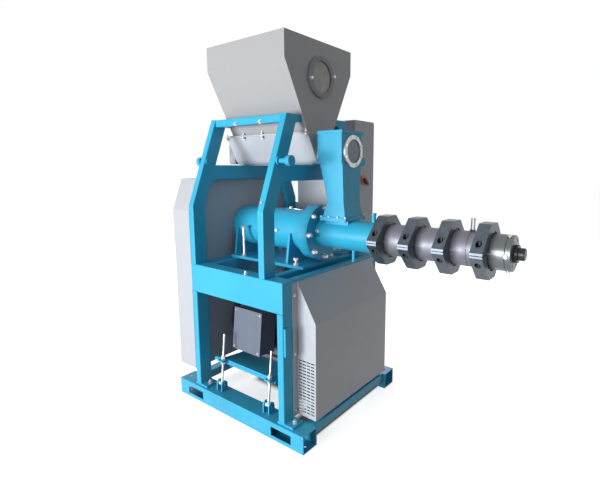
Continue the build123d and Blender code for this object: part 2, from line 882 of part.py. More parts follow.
# Feed tube: flange, barrel tube, clamp collar, and a rectangular inlet neck with its own flange
feed_radius = feed_tube_outer / 2
feed_flange_end = housing_end + feed_flange_depth
inlet_flange_base = inlet_flange_top - 2 * inlet_flange_thickness
with BuildPart() as feed_tube:
    with BuildSketch(Plane.XZ):
        with BuildLine():
            Polyline(
                (housing_end, axis_height),
                (housing_end, axis_height + flange_radius),
                (feed_flange_end, axis_height + flange_radius),
                (feed_flange_end, axis_height + feed_radius),
                (feed_tube_right - collar_width, axis_height + feed_radius),
                (feed_tube_right - collar_width, axis_height + collar_radius),
                (feed_tube_right, axis_height + collar_radius),
                (feed_tube_right, axis_height),
                close=True,
            )
        make_face()
    revolve(axis=extruder_line)
    extrude(
        chute_section(
            inlet_flange_base,
            inlet_left - inlet_flange_margin,
            inlet_right + inlet_flange_margin,
            inlet_half_depth + inlet_flange_margin,
        ),
        amount=inlet_flange_thickness,
    )
    extrude(
        chute_section(axis_height, inlet_left, inlet_right, inlet_neck_half_depth),
        amount=inlet_flange_base - axis_height,
    )
    extrude(
        chute_section(inlet_pocket_floor, inlet_left + sheet, inlet_right - sheet, inlet_neck_half_depth - sheet),
        amount=inlet_flange_top - inlet_pocket_floor,
        mode=Mode.SUBTRACT,
    )
    with BuildSketch(Plane.XY.offset(axis_height)):
        with Locations((filler_x, 0)):
            Circle(filler_outer / 2)
    extrude(amount=filler_rise - filler_cap_height)
    with BuildSketch(Plane.XY.offset(axis_height + filler_rise)):
        with Locations((filler_x, 0)):
            Circle(filler_cap / 2)
    extrude(amount=-filler_cap_height)
    with BuildSketch(Plane.XY.offset(axis_height)):
        with Locations((drain_x, 0)):
            Circle(drain_outer / 2)
    extrude(amount=-feed_radius - drain_drop)
feed_tube.part.label = "feed_tube"
export_step(feed_tube.part, "parts/feed_tube.step")

# Barrel chambers, turned, with a collar at each end for the clamps
chamber_radius = chamber_outer / 2
for number in (1, 2, 3):
    chamber_left = feed_tube_right + (number - 1) * clamp_pitch
    chamber_right = chamber_left + clamp_pitch
    with BuildPart() as barrel_chamber:
        with BuildSketch(Plane.XZ):
            with BuildLine():
                Polyline(
                    (chamber_left, axis_height),
                    (chamber_left, axis_height + collar_radius),
                    (chamber_left + collar_width, axis_height + collar_radius),
                    (chamber_left + collar_width, axis_height + chamber_radius),
                    (chamber_right - collar_width, axis_height + chamber_radius),
                    (chamber_right - collar_width, axis_height + collar_radius),
                    (chamber_right, axis_height + collar_radius),
                    (chamber_right, axis_height),
                    close=True,
                )
            make_face()
        revolve(axis=extruder_line)
        if number == 3:
            with BuildSketch(Plane.YZ.offset((probe_x[0] + probe_x[1] - probe_groove_width) / 2)):
                with Locations((0, axis_height)):
                    Circle(chamber_radius + 1)
                    Circle(chamber_radius - probe_groove_depth, mode=Mode.SUBTRACT)
            extrude(amount=probe_groove_width, mode=Mode.SUBTRACT)
    barrel_chamber.part.label = f"barrel_chamber_{number}"
    export_step(barrel_chamber.part, f"parts/barrel_chamber_{number}.step")

# Clamps: each is a pair of flanged half rings whose stepped bore grips two collars
clamp_half_outline = [
    (-clamp_half_width, clamp_split / 2),
    (-clamp_half_width, clamp_nose),
    (-clamp_half_flat, clamp_half_height),
    (clamp_half_flat, clamp_half_height),
    (clamp_half_width, clamp_nose),
    (clamp_half_width, clamp_split / 2),
]
with BuildPart() as clamp_half:
    with BuildSketch(Plane.YZ.offset(-clamp_width / 2)) as clamp_outline:
        with BuildLine():
            Polyline(*clamp_half_outline, close=True)
        make_face()
        fillet(clamp_outline.vertices().group_by(Axis.Y)[-1], radius=clamp_corner)
        noses = clamp_outline.vertices().filter_by_position(Axis.Y, clamp_nose - 1, clamp_nose + 1)
        fillet(noses, radius=clamp_nose_corner)
        Circle(clamp_lip_bore / 2, mode=Mode.SUBTRACT)
    extrude(amount=clamp_width)
    with BuildSketch(Plane.YZ.offset(-collar_width)):
        Circle(collar_radius + seat_gap)
    extrude(amount=2 * collar_width, mode=Mode.SUBTRACT)
    with BuildSketch(Plane.XY):
        with GridLocations(0, 2 * clamp_bolt_y, 1, 2):
            Circle(clamp_bolt_hole / 2)
    extrude(amount=clamp_half_height, mode=Mode.SUBTRACT)
    with BuildSketch(Plane.XY.offset(clamp_bolt_seat)):
        with GridLocations(0, 2 * clamp_bolt_y, 1, 2):
            Circle(clamp_bolt_sink / 2)
    extrude(amount=clamp_half_height, mode=Mode.SUBTRACT)

with BuildPart() as clamps:
    with Locations((feed_tube_right + 1.5 * clamp_pitch, 0, axis_height)):
        with GridLocations(clamp_pitch, 0, 4, 1):
            add(clamp_half.part)
            add(mirror(clamp_half.part, about=Plane.XY, mode=Mode.PRIVATE))
clamps.part.label = "clamps"
export_step(clamps.part, "parts/clamps.step")

# Temperature probes standing on the last chamber, each with a small nut
with BuildPart() as barrel_probes:
    for rod_x in probe_x:
        with BuildSketch(Plane.XY.offset(axis_height + chamber_radius)):
            with Locations((rod_x, 0)):
                Circle(probe_diameter / 2)
        extrude(amount=probe_rise - chamber_radius)
    for rod_x in probe_x:
        with BuildSketch(Plane.XY.offset(axis_height + chamber_radius)):
            with Locations((rod_x, 0)):
                RegularPolygon(probe_nut / 2, 6, major_radius=False, rotation=30)
        extrude(amount=probe_nut_height)
barrel_probes.part.label = "barrel_probes"
export_step(barrel_probes.part, "parts/barrel_probes.step")

# Die head, die ring and the regulating plug in the outlet
die_left = feed_tube_right + 3 * clamp_pitch
die_radius = die_head_outer / 2
with BuildPart() as die_head:
    with BuildSketch(Plane.XZ):
        with BuildLine():
            Polyline(
                (die_left, axis_height),
                (die_left, axis_height + collar_radius),
                (die_left + collar_width, axis_height + collar_radius),
                (die_left + collar_width, axis_height + die_radius),
                (die_head_right - die_chamfer, axis_height + die_radius),
                (die_head_right, axis_height + die_radius - die_chamfer),
                (die_head_right, axis_height),
                close=True,
            )
        make_face()
    revolve(axis=extruder_line)
die_head.part.label = "die_head"
export_step(die_head.part, "parts/die_head.step")

die_ring_right = die_head_right + die_ring_depth
with BuildPart() as die_ring:
    with BuildSketch(Plane.XZ):
        with BuildLine():
            Polyline(
                (die_head_right, axis_height),
                (die_head_right, axis_height + die_radius - die_chamfer),
                (die_head_right + die_chamfer, axis_height + die_radius),
                (die_ring_right - die_chamfer, axis_height + die_radius),
                (die_ring_right, axis_height + die_radius - die_chamfer),
                (die_ring_right, axis_height),
                close=True,
            )
        make_face()
    revolve(axis=extruder_line)
    with BuildSketch(Plane.YZ.offset(die_ring_right)):
        with Locations((0, axis_height)):
            with PolarLocations(die_pin_circle / 2, 6):
                Circle(die_pin / 2)
    extrude(amount=-die_pin_depth, mode=Mode.SUBTRACT)
die_ring.part.label = "die_ring"
export_step(die_ring.part, "parts/die_ring.step")

plug_shoulder = die_ring_right + plug_collar_depth
plug_end = plug_shoulder + plug_depth
with BuildPart() as regulating_plug:
    with BuildSketch(Plane.XZ):
        with BuildLine():
            Polyline(
                (die_ring_right, axis_height),
                (die_ring_right, axis_height + plug_collar_outer / 2),
                (plug_shoulder, axis_height + plug_collar_outer / 2),
                (plug_shoulder, axis_height + plug_outer / 2),
                (plug_end - plug_chamfer, axis_height + plug_outer / 2),
                (plug_end, axis_height + plug_outer / 2 - plug_chamfer),
                (plug_end, axis_height),
                close=True,
            )
        make_face()
    revolve(axis=extruder_line)
regulating_plug.part.label = "regulating_plug"
export_step(regulating_plug.part, "parts/regulating_plug.step")

# The motor, its box, plate and studs are drawn level and then turned about the rear hinge

# Motor: finned stator, end shields, fan cowl, drive-end flange at the belt guard, feet
foot_middle = (motor_left + shield_depth + cowl_left) / 2
pad_middle = ((terminal_left + terminal_right) / 2, (terminal_base + terminal_top) / 2)
with BuildPart() as level_motor:
    with BuildSketch(Plane.YZ.offset(motor_left)):
        with Locations((0, motor_axis)):
            Circle(stator_outer / 2)
            with PolarLocations(stator_outer / 2, fin_count):
                Rectangle(2 * fin_height, fin_width)
    extrude(amount=cowl_left - motor_left)
    with BuildSketch(Plane.YZ.offset(motor_left)):
        with Locations((0, motor_axis)):
            Circle(shield_outer / 2)
    extrude(amount=shield_depth)
    with BuildSketch(Plane.YZ.offset(cowl_left)):
        with Locations((0, motor_axis)):
            Circle(cowl_outer / 2)
    extrude(amount=motor_right - cowl_left)
    with BuildSketch(Plane.YZ.offset(left_post_face)):
        with Locations((0, motor_axis)):
            Circle(shaft_outer / 2)
    extrude(amount=motor_left - left_post_face)
    with BuildSketch(Plane.YZ.offset(left_post_face)):
        with Locations((0, motor_axis)):
            Circle(drive_flange_outer / 2)
    extrude(amount=drive_flange_depth)
    with BuildSketch(Plane.XY.offset(plate_top)):
        with Locations((foot_middle, 0)):
            with GridLocations(0, foot_pad_spacing, 1, 2):
                Rectangle(foot_pad_length, foot_pad_width)
    extrude(amount=foot_pad_height)
    with BuildSketch(Plane.XY.offset(plate_top)):
        with Locations((foot_middle, 0)):
            with GridLocations(0, foot_pad_spacing - foot_web, 1, 2):
                Rectangle(foot_pad_length, foot_web)
    extrude(amount=motor_shaft_height - foot_web)
    with BuildSketch(Plane.XZ.offset(terminal_back)):
        with Locations(pad_middle):
            Rectangle(terminal_pad, terminal_pad)
    extrude(amount=-terminal_back / 2)

with BuildPart() as motor_body:
    add(level_motor.part.rotate(hinge_line, -plate_tilt))
motor_body.part.label = "motor_body"
export_step(motor_body.part, "parts/motor_body.step")

# Terminal box with a slightly larger lid
with BuildPart() as level_box:
    with BuildSketch(Plane.XZ.offset(terminal_back)):
        with Locations(pad_middle):
            Rectangle(
                terminal_right - terminal_left - 2 * terminal_lid_margin,
                terminal_top - terminal_base - 2 * terminal_lid_margin,
            )
    extrude(amount=terminal_front - terminal_lid - terminal_back)
    with BuildSketch(Plane.XZ.offset(terminal_front - terminal_lid)):
        with Locations(pad_middle):
            RectangleRounded(terminal_right - terminal_left, terminal_top - terminal_base, terminal_lid)
    extrude(amount=terminal_lid)

with BuildPart() as terminal_box:
    add(level_box.part.rotate(hinge_line, -plate_tilt))
terminal_box.part.label = "terminal_box"
export_step(terminal_box.part, "parts/terminal_box.step")

# Motor plate with ribs below and lugs for the tension studs
plate_middle_x = (plate_left + plate_right) / 2
with BuildPart() as level_plate:
    with BuildSketch(Plane.XY.offset(plate_base)):
        with Locations((plate_middle_x, (plate_back - plate_front) / 2)):
            Rectangle(plate_right - plate_left, plate_front + plate_back)
        with Locations((stud_middle_x, -plate_front)):
            with GridLocations(stud_spacing, 0, 2, 1):
                Rectangle(lug_width, 2 * (stud_y + lug_reach - plate_front))
        with Locations((stud_middle_x, -stud_y)):
            with GridLocations(stud_spacing, 0, 2, 1):
                Circle(lug_hole / 2, mode=Mode.SUBTRACT)
    extrude(amount=plate_thickness)
    with BuildSketch(Plane.XY.offset(plate_base)):
        with Locations((rib_left_x, 0), (rib_right_x, 0)):
            Rectangle(rib_thickness, 2 * (plate_front - 2 * bar_inset - bar_outer / 2))
    extrude(amount=-rib_depth)

with BuildPart() as motor_plate:
    add(level_plate.part.rotate(hinge_line, -plate_tilt))
motor_plate.part.label = "motor_plate"
export_step(motor_plate.part, "parts/motor_plate.step")

# Round bars under the plate's front edge and at its rear hinge, and the pins of the studs
stud_x = (stud_middle_x - stud_spacing / 2, stud_middle_x + stud_spacing / 2)
front_bar_y = -plate_front + bar_inset
hinge_left = plate_left - hinge_bracket_gap - hinge_bracket_thickness
hinge_right = plate_right + hinge_bracket_gap
with BuildPart() as level_bar:
    with BuildSketch(Plane.YZ.offset(bar_left)):
        with Locations((front_bar_y, hinge_height)):
            Circle(bar_outer / 2)
    extrude(amount=bar_right - bar_left)

with BuildPart() as pivot_bars:
    add(level_bar.part.rotate(hinge_line, -plate_tilt))
    with BuildSketch(Plane.YZ.offset(hinge_left - hinge_bar_end)):
        with Locations((hinge_y, hinge_height)):
            Circle(bar_outer / 2)
    extrude(amount=hinge_right - hinge_left + hinge_bracket_thickness + 2 * hinge_bar_end)
    for rod_x in stud_x:
        with BuildSketch(Plane.YZ.offset(rod_x - ear_spacing / 2 - ear_pin_end)):
            with Locations((eye_y, eye_height)):
                Circle(ear_pin / 2)
        extrude(amount=ear_spacing + 2 * ear_pin_end)
pivot_bars.part.label = "pivot_bars"
export_step(pivot_bars.part, "parts/pivot_bars.step")

# Tension studs: threaded rods with an eye at the foot, pinned between ears on the front rail
eye_width = ear_spacing - 2 * ear_thickness - 2 * seat_gap
with BuildPart() as level_studs:
    for rod_x in stud_x:
        with BuildSketch(Plane.XY.offset(stud_foot)):
            with Locations((rod_x, -stud_y)):
                Circle(stud_outer / 2)
        extrude(amount=stud_length)
    for rod_x in stud_x:
        with BuildSketch(Plane.YZ.offset(rod_x - eye_width / 2)):
            with Locations((-stud_y, stud_foot)):
                Circle(eye_outer / 2)
        extrude(amount=eye_width)
        with BuildSketch(Plane.YZ.offset(rod_x - eye_width / 2)):
            with Locations((-stud_y, stud_foot)):
                Circle(ear_pin / 2 + pin_clearance)
        extrude(amount=eye_width, mode=Mode.SUBTRACT)

with BuildPart() as tension_studs:
    add(level_studs.part.rotate(hinge_line, -plate_tilt))
tension_studs.part.label = "tension_studs"
export_step(tension_studs.part, "parts/tension_studs.step")

# Hexagon nuts above and below the lugs
with BuildPart() as level_nuts:
    for nut_base in (plate_top, plate_base - nut_height, plate_top + nut_height):
        with BuildSketch(Plane.XY.offset(nut_base)):
            with Locations((stud_x[0], -stud_y), (stud_x[1], -stud_y)):
                RegularPolygon(nut_flats / 2, 6, major_radius=False)
                Circle(stud_outer / 2 + seat_gap, mode=Mode.SUBTRACT)
        extrude(amount=nut_height)

with BuildPart() as tension_nuts:
    add(level_nuts.part.rotate(hinge_line, -plate_tilt))
tension_nuts.part.label = "tension_nuts"
export_step(tension_nuts.part, "parts/tension_nuts.step")

# Brackets on the rails: round-topped ears for the studs, round-topped uprights for the hinge bar
with BuildPart() as rail_brackets:
    for rod_x in stud_x:
        for ear_x in (rod_x - ear_spacing / 2, rod_x + ear_spacing / 2 - ear_thickness):
            with BuildSketch(Plane.YZ.offset(ear_x)):
                with Locations((eye_y, rail_height)):
                    Rectangle(ear_width, eye_height - rail_height, align=(Align.CENTER, Align.MIN))
                with Locations((eye_y, eye_height)):
                    Circle(ear_width / 2)
                    Circle(ear_pin / 2 + pin_clearance, mode=Mode.SUBTRACT)
            extrude(amount=ear_thickness)
    for bracket_x in (hinge_left, hinge_right):
        with BuildSketch(Plane.YZ.offset(bracket_x)):
            with Locations((hinge_y, rail_height)):
                Rectangle(hinge_bracket_width, hinge_height - rail_height, align=(Align.CENTER, Align.MIN))
            with Locations((hinge_y, hinge_height)):
                Circle(hinge_bracket_width / 2)
                Circle(bar_outer / 2 + pin_clearance, mode=Mode.SUBTRACT)
        extrude(amount=hinge_bracket_thickness)
rail_brackets.part.label = "rail_brackets"
export_step(rail_brackets.part, "parts/rail_brackets.step")

# Belt guard: a closed cover that follows the arch's outline
guard_profile = [
    (-frame_width / 2, guard_base),
    (-frame_width / 2, guard_knee),
    (-frame_width / 2 + (guard_top - guard_knee) * arch_lean, guard_top),
]
with BuildPart() as belt_guard:
    with BuildSketch(Plane.YZ.offset(guard_left)):
        with BuildLine():
            Polyline(*mirrored(guard_profile), close=True)
        make_face()
    extrude(amount=left_post_face - guard_left)
    fillet(belt_guard.faces().sort_by(Axis.X)[0].edges(), radius=guard_edge)
belt_guard.part.label = "belt_guard"
export_step(belt_guard.part, "parts/belt_guard.step")

# Motor cover: a folded hood with a mounting flange and a louvred grille
with BuildPart() as motor_cover:
    with BuildSketch(Plane.XZ.offset(-cover_front)):
        with BuildLine():
            Polyline(
                (cover_left, cover_base),
                (cover_right, cover_base),
                (cover_right, cover_knee),
                (cover_left, cover_top),
                close=True,
            )
        make_face()
    extrude(amount=cover_front - cover_back)
    offset(amount=-sheet, openings=[motor_cover.faces().filter_by(Axis.X).sort_by(Axis.X)[0]])
    with BuildSketch(Plane.YZ.offset(cover_left)):
        with Locations(((cover_flange_front + cover_flange_back) / 2, cover_base)):
            Rectangle(
                cover_flange_back - cover_flange_front,
                cover_flange_top - cover_base,
                align=(Align.CENTER, Align.MIN),
            )
        with Locations(((cover_front + cover_back) / 2, cover_base + sheet)):
            Rectangle(
                cover_back - cover_front - 2 * sheet,
                cover_top - cover_base - 3 * sheet,
                align=(Align.CENTER, Align.MIN),
                mode=Mode.SUBTRACT,
            )
    extrude(amount=-cover_flange)
    with BuildSketch(Plane.XZ.offset(-cover_front)):
        with Locations((cover_right - slot_inset_x, cover_base + slot_rise)):
            with GridLocations(slot_pitch_x, slot_pitch_z, slot_columns, slot_rows):
                Rectangle(slot_width, slot_height)
    extrude(amount=-sheet, mode=Mode.SUBTRACT)
motor_cover.part.label = "motor_cover"
export_step(motor_cover.part, "parts/motor_cover.step")

# Switch cabinet behind the frame, its door on the far side, and the rails that carry it
with BuildPart() as cabinet:
    with BuildSketch(Plane.XY.offset(cabinet_base)):
        with Locations(((cabinet_left + cabinet_right) / 2, (cabinet_front + cabinet_back) / 2)):
            RectangleRounded(cabinet_right - cabinet_left, cabinet_back - cabinet_front, cabinet_corner)
    extrude(amount=cabinet_top - cabinet_base)
cabinet.part.label = "cabinet"
export_step(cabinet.part, "parts/cabinet.step")

with BuildPart() as cabinet_door:
    with BuildSketch(Plane.XZ.offset(-cabinet_back)):
        with Locations(((cabinet_left + cabinet_right) / 2, (cabinet_base + cabinet_top) / 2)):
            RectangleRounded(
                cabinet_right - cabinet_left - 2 * door_margin,
                cabinet_top - cabinet_base - 2 * door_margin,
                cabinet_corner,
            )
    extrude(amount=-door_depth)
cabinet_door.part.label = "cabinet_door"
export_step(cabinet_door.part, "parts/cabinet_door.step")

cabinet_rail_right = right_arch_x + tube_width / 2
with BuildPart() as cabinet_rails:
    with BuildSketch(Plane.YZ.offset(left_post_face)):
        for rail_base in (cabinet_rail_low, cabinet_rail_high):
            with Locations((frame_width / 2, rail_base)):
                Rectangle(
                    cabinet_front - frame_width / 2,
                    cabinet_rail_height,
                    align=(Align.MIN, Align.MIN),
                )
    extrude(amount=cabinet_rail_right - left_post_face)
cabinet_rails.part.label = "cabinet_rails"
export_step(cabinet_rails.part, "parts/cabinet_rails.step")

# Main switch: a square plate with a turning handle
with BuildPart() as switch_plate:
    with BuildSketch(Plane.YZ.offset(cabinet_right)):
        with Locations((switch_y, switch_height)):
            RectangleRounded(switch_plate_width, switch_plate_height, tube_corner)
            Circle(switch_spindle / 2 + spindle_clearance, mode=Mode.SUBTRACT)
    extrude(amount=switch_plate_depth)
switch_plate.part.label = "switch_plate"
export_step(switch_plate.part, "parts/switch_plate.step")

switch_face = cabinet_right + switch_plate_depth
with BuildPart() as switch_handle:
    with BuildSketch(Plane.YZ.offset(cabinet_right + seat_gap)):
        with Locations((switch_y, switch_height)):
            Circle(switch_spindle / 2)
    extrude(amount=switch_plate_depth)
    with BuildSketch(Plane.YZ.offset(switch_face + seat_gap)):
        with Locations((switch_y, switch_height)):
            Circle(switch_hub / 2)
    extrude(amount=switch_hub_depth)
    with BuildSketch(Plane.YZ.offset(switch_face + switch_hub_depth / 2)):
        with Locations(Location((switch_y, switch_height, 0), (0, 0, switch_turn))):
            with Locations((switch_grip_length / 2 - switch_grip_width / 2, 0)):
                SlotOverall(switch_grip_length, switch_grip_width)
    extrude(amount=switch_grip_depth)
switch_handle.part.label = "switch_handle"
export_step(switch_handle.part, "parts/switch_handle.step")
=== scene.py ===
"""Looks of a feed extruder on a fork-lift skid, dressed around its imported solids."""

import logging
import math
from dataclasses import dataclass
from enum import Enum
from functools import cache, cached_property, reduce
from typing import Any, Sequence

import bpy
from mathutils import Matrix, Vector


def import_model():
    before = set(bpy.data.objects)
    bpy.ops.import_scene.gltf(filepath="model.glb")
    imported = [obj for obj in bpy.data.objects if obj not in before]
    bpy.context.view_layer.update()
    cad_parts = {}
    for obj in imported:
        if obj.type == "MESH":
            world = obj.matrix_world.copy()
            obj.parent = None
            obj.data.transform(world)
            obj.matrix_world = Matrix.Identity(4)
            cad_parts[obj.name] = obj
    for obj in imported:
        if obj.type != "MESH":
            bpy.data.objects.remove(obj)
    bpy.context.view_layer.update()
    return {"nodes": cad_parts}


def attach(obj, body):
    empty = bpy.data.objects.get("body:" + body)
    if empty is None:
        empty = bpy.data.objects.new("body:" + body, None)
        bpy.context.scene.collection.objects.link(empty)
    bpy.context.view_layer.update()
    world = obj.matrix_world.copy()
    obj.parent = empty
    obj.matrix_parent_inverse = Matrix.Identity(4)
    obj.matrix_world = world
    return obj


LOG = logging.getLogger("feed_extruder")
MACHINE = "machine"
MM = 0.001
SIDES = (-1, 1)
UP, DOWN = (0, 0, 1), (0, 0, -1)

Colour = tuple[float, float, float]
Point = tuple[float, float, float]
Spot = tuple[Sequence[float], Sequence[float]]


# ---------------------------------------------------------------- nodes


class Wire:
    """A node's value that can stand in an arithmetic expression."""

    def __init__(self, graph: "NodeBuilder", socket: bpy.types.NodeSocket) -> None:
        """Keep the socket.

        Args:
            graph: The tree that the socket belongs to.
            socket: The output socket that carries the value.
        """
        self.graph = graph
        self.socket = socket

    def _maths(self, operation: str, first: Any, second: Any = 0.0) -> "Wire":
        """Add one Math node and return its result."""
        return self.graph.wire("ShaderNodeMath", {"operation": operation}, {0: first, 1: second})

    def __add__(self, other: Any) -> "Wire":
        """self + other."""
        return self._maths("ADD", self, other)

    def __radd__(self, other: Any) -> "Wire":
        """other + self."""
        return self._maths("ADD", other, self)

    def __sub__(self, other: Any) -> "Wire":
        """self - other."""
        return self._maths("SUBTRACT", self, other)

    def __rsub__(self, other: Any) -> "Wire":
        """other - self."""
        return self._maths("SUBTRACT", other, self)

    def __mul__(self, other: Any) -> "Wire":
        """self * other."""
        return self._maths("MULTIPLY", self, other)

    def __rmul__(self, other: Any) -> "Wire":
        """other * self."""
        return self._maths("MULTIPLY", other, self)

    def __abs__(self) -> "Wire":
        """self without its sign."""
        return self._maths("ABSOLUTE", self)

    def sine(self) -> "Wire":
        """The sine of self."""
        return self._maths("SINE", self)

    def folded(self, span: float) -> "Wire":
        """Self folded to and fro between 0 and span."""
        return self._maths("PINGPONG", self, span)

    def at_least(self, limit: Any) -> "Wire":
        """The larger of self and limit."""
        return self._maths("MAXIMUM", self, limit)

    def step(self, low: float, high: float) -> "Wire":
        """A smooth step from 0 at low to 1 at high."""
        settings = {"interpolation_type": "SMOOTHSTEP"}
        return self.graph.wire("ShaderNodeMapRange", settings, {0: self, 1: low, 2: high, 3: 0.0, 4: 1.0})


class NodeBuilder:
    """A node tree, built one node at a time."""

    def __init__(self, tree: bpy.types.NodeTree) -> None:
        """Keep the tree.

        Args:
            tree: The tree that gets the nodes.
        """
        self.tree = tree

    def node(
        self,
        kind: str,
        settings: dict[str, Any] | None = None,
        inputs: dict[str | int, Any] | None = None,
    ) -> bpy.types.Node:
        """Add a node.

        Args:
            kind: The node's type name.
            settings: Properties that are set first.
            inputs: Values, sockets or wires for the node's input sockets.

        Returns:
            The new node.
        """
        made = self.tree.nodes.new(kind)
        for key, value in (settings or {}).items():
            setattr(made, key, value)
        for key, value in (inputs or {}).items():
            self.connect(value, made.inputs[key])
        return made

    def connect(self, value: Any, target: bpy.types.NodeSocket) -> None:
        """Link a wire or socket to target, or set target's value."""
        if isinstance(value, Wire):
            self.tree.links.new(value.socket, target)
        elif isinstance(value, bpy.types.NodeSocket):
            self.tree.links.new(value, target)
        else:
            target.default_value = value

    def wire(
        self,
        kind: str,
        settings: dict[str, Any] | None = None,
        inputs: dict[str | int, Any] | None = None,
        output: int | str = 0,
    ) -> Wire:
        """Add a node and return one of its outputs as a wire."""
        return Wire(self, self.node(kind, settings, inputs).outputs[output])


class Graph(NodeBuilder):
    """The shader nodes of a material or of the world."""

    def __init__(self, owner: bpy.types.Material | bpy.types.World) -> None:
        """Empty the owner's node tree.

        Args:
            owner: The new material or world.
        """
        owner.use_nodes = True
        super().__init__(owner.node_tree)
        self.tree.nodes.clear()
        self.owner = owner

    @cached_property
    def position(self) -> bpy.types.NodeSocket:
        """The place on the surface in object space."""
        return self.node("ShaderNodeTexCoord").outputs["Object"]

    def noise(self, scale: float, detail: float = 3.0, stretch: Sequence[float] = (1, 1, 1)) -> Wire:
        """Noise in object space.

        Args:
            scale: Features per metre.
            detail: Octaves.
            stretch: Scale along each axis; a small number draws the noise out.

        Returns:
            A value about 0.5.
        """
        place = self.node("ShaderNodeMapping", None, {"Vector": self.position, "Scale": tuple(stretch)})
        values = {"Vector": place.outputs[0], "Scale": scale, "Detail": detail}
        return self.wire("ShaderNodeTexNoise", None, values, "Fac")

    def mix(self, factor: Any, first: Any, second: Any) -> Wire:
        """Blend two colours."""
        settings = {"data_type": "RGBA", "clamp_factor": True}
        return self.wire("ShaderNodeMix", settings, {0: factor, 6: rgba(first), 7: rgba(second)}, 2)

    def facing(self, axis: int) -> Wire:
        """One component of the surface's normal in object space."""
        normal = self.node("ShaderNodeNewGeometry").outputs["Normal"]
        return self.wire("ShaderNodeSeparateXYZ", None, {0: normal}, axis)

    def along(self, axis: int) -> Wire:
        """One object coordinate, in metres."""
        return self.wire("ShaderNodeSeparateXYZ", None, {0: self.position}, axis)

    def bump(self, height: Any, strength: float, distance: float, below: Any = None) -> Wire:
        """A bumped normal.

        Args:
            height: The height wire.
            strength: From 0 to 1.
            distance: Height of one unit, in metres.
            below: An optional normal that this bump lies on.

        Returns:
            The normal.
        """
        values: dict[str | int, Any] = {"Strength": strength, "Distance": distance, "Height": height}
        if below is not None:
            values["Normal"] = below
        return self.wire("ShaderNodeBump", None, values, "Normal")

    def seen(self) -> Wire:
        """1 on what the camera sees, also in a mirror or through glass, and 0 for all other light."""
        paths = self.node("ShaderNodeLightPath").outputs
        rays = [Wire(self, paths[f"Is {kind} Ray"]) for kind in ("Camera", "Glossy", "Transmission")]
        return reduce(Wire.at_least, rays)

    def close(self, shader: bpy.types.Node, output: str = "ShaderNodeOutputMaterial") -> None:
        """Join the last shader to the tree's output."""
        self.node(output, None, {"Surface": shader.outputs[0]})

    def surface(self, **values: Any) -> bpy.types.Material:
        """Close the graph with a Principled shader and return the material.

        Args:
            **values: Socket values, with underscores for the spaces in the sockets' names.

        Returns:
            The finished material.
        """
        inputs = {key.replace("_", " ").title().replace("Ior", "IOR"): value for key, value in values.items()}
        self.close(self.node("ShaderNodeBsdfPrincipled", None, inputs))
        return self.owner


def rgba(colour: Any) -> Any:
    """A colour with its alpha; wires and sockets pass unchanged."""
    if isinstance(colour, (Wire, bpy.types.NodeSocket)):
        return colour
    return (*colour, 1.0)


def shade(colour: Colour, factor: float) -> Colour:
    """A colour made lighter or darker."""
    return tuple(min(1.0, part * factor) for part in colour)


# ---------------------------------------------------------------- finishes


@dataclass(frozen=True)
class Finish:
    """A named finish, made into a material when it is first used."""

    name: str

    def graph(self) -> Graph:
        """Start the finish's material."""
        return Graph(bpy.data.materials.new(self.name))

    def make(self) -> bpy.types.Material:
        """Build the material."""
        raise NotImplementedError

    @cached_property
    def material(self) -> bpy.types.Material:
        """The material, built once."""
        return self.make()


@dataclass(frozen=True)
class EnamelFinish(Finish):
    """Sprayed paint on steel: even, slightly rippled, dustier where it faces up."""

    colour: Colour
    roughness: float = 0.32
    ripple: float = 0.25
    dust: float = 0.12
    grime: float = 0.18
    coat: float = 0.25

    def make(self) -> bpy.types.Material:
        """Build the material."""
        graph = self.graph()
        cloud = graph.noise(2.2, 4.0)
        streak = graph.noise(9.0, 4.0, (1.0, 1.0, 0.12))
        speck = graph.noise(60.0, 3.0)
        body = graph.mix(cloud.step(0.3, 0.7), shade(self.colour, 0.92), shade(self.colour, 1.07))
        dirty = graph.mix(streak.step(0.52, 0.8) * self.grime, body, shade(self.colour, 0.55))
        film = graph.facing(2).step(0.6, 1.0) * speck.step(0.35, 0.75) * self.dust
        low = (0.35 - graph.along(2)).step(0.0, 0.3) * speck.step(0.4, 0.7) * self.dust
        dusty = graph.mix(film.at_least(low), dirty, (0.42, 0.4, 0.37))
        rough = self.roughness + speck * 0.1 + cloud * 0.06 + film * 0.5
        peel = graph.bump(graph.noise(320.0, 2.0), self.ripple, 0.0004)
        return graph.surface(
            base_color=dusty,
            roughness=rough,
            normal=graph.bump(graph.noise(5.0, 2.0), 0.12, 0.002, peel),
            specular_ior_level=0.3,
            coat_weight=self.coat,
            coat_roughness=0.12,
        )


@dataclass(frozen=True)
class SheetFinish(Finish):
    """Rolled sheet, painted or bare: long faint grain, soft waviness, a few scuffs."""

    colour: Colour
    metallic: float = 0.0
    roughness: float = 0.4
    grain: Point = (0.15, 1.0, 1.0)
    contrast: float = 0.08
    wave: float = 0.25

    def make(self) -> bpy.types.Material:
        """Build the material."""
        graph = self.graph()
        brushed = graph.noise(260.0, 4.0, self.grain)
        cloud = graph.noise(3.0, 3.0)
        scuff = graph.noise(14.0, 6.0, (1.0, 1.0, 0.5)).step(0.62, 0.74)
        tone = (brushed - 0.5) * self.contrast * 2.0 + (cloud - 0.5) * self.contrast + 0.5
        body = graph.mix(tone, shade(self.colour, 0.84), shade(self.colour, 1.14))
        marked = graph.mix(scuff * 0.22, body, shade(self.colour, 0.7))
        rough = self.roughness + (brushed - 0.5) * 0.18 + scuff * 0.12
        fine = graph.bump(brushed, 0.12, 0.0003)
        return graph.surface(
            base_color=marked,
            metallic=self.metallic,
            roughness=rough,
            normal=graph.bump(graph.noise(3.5, 1.0), self.wave, 0.004, fine),
        )


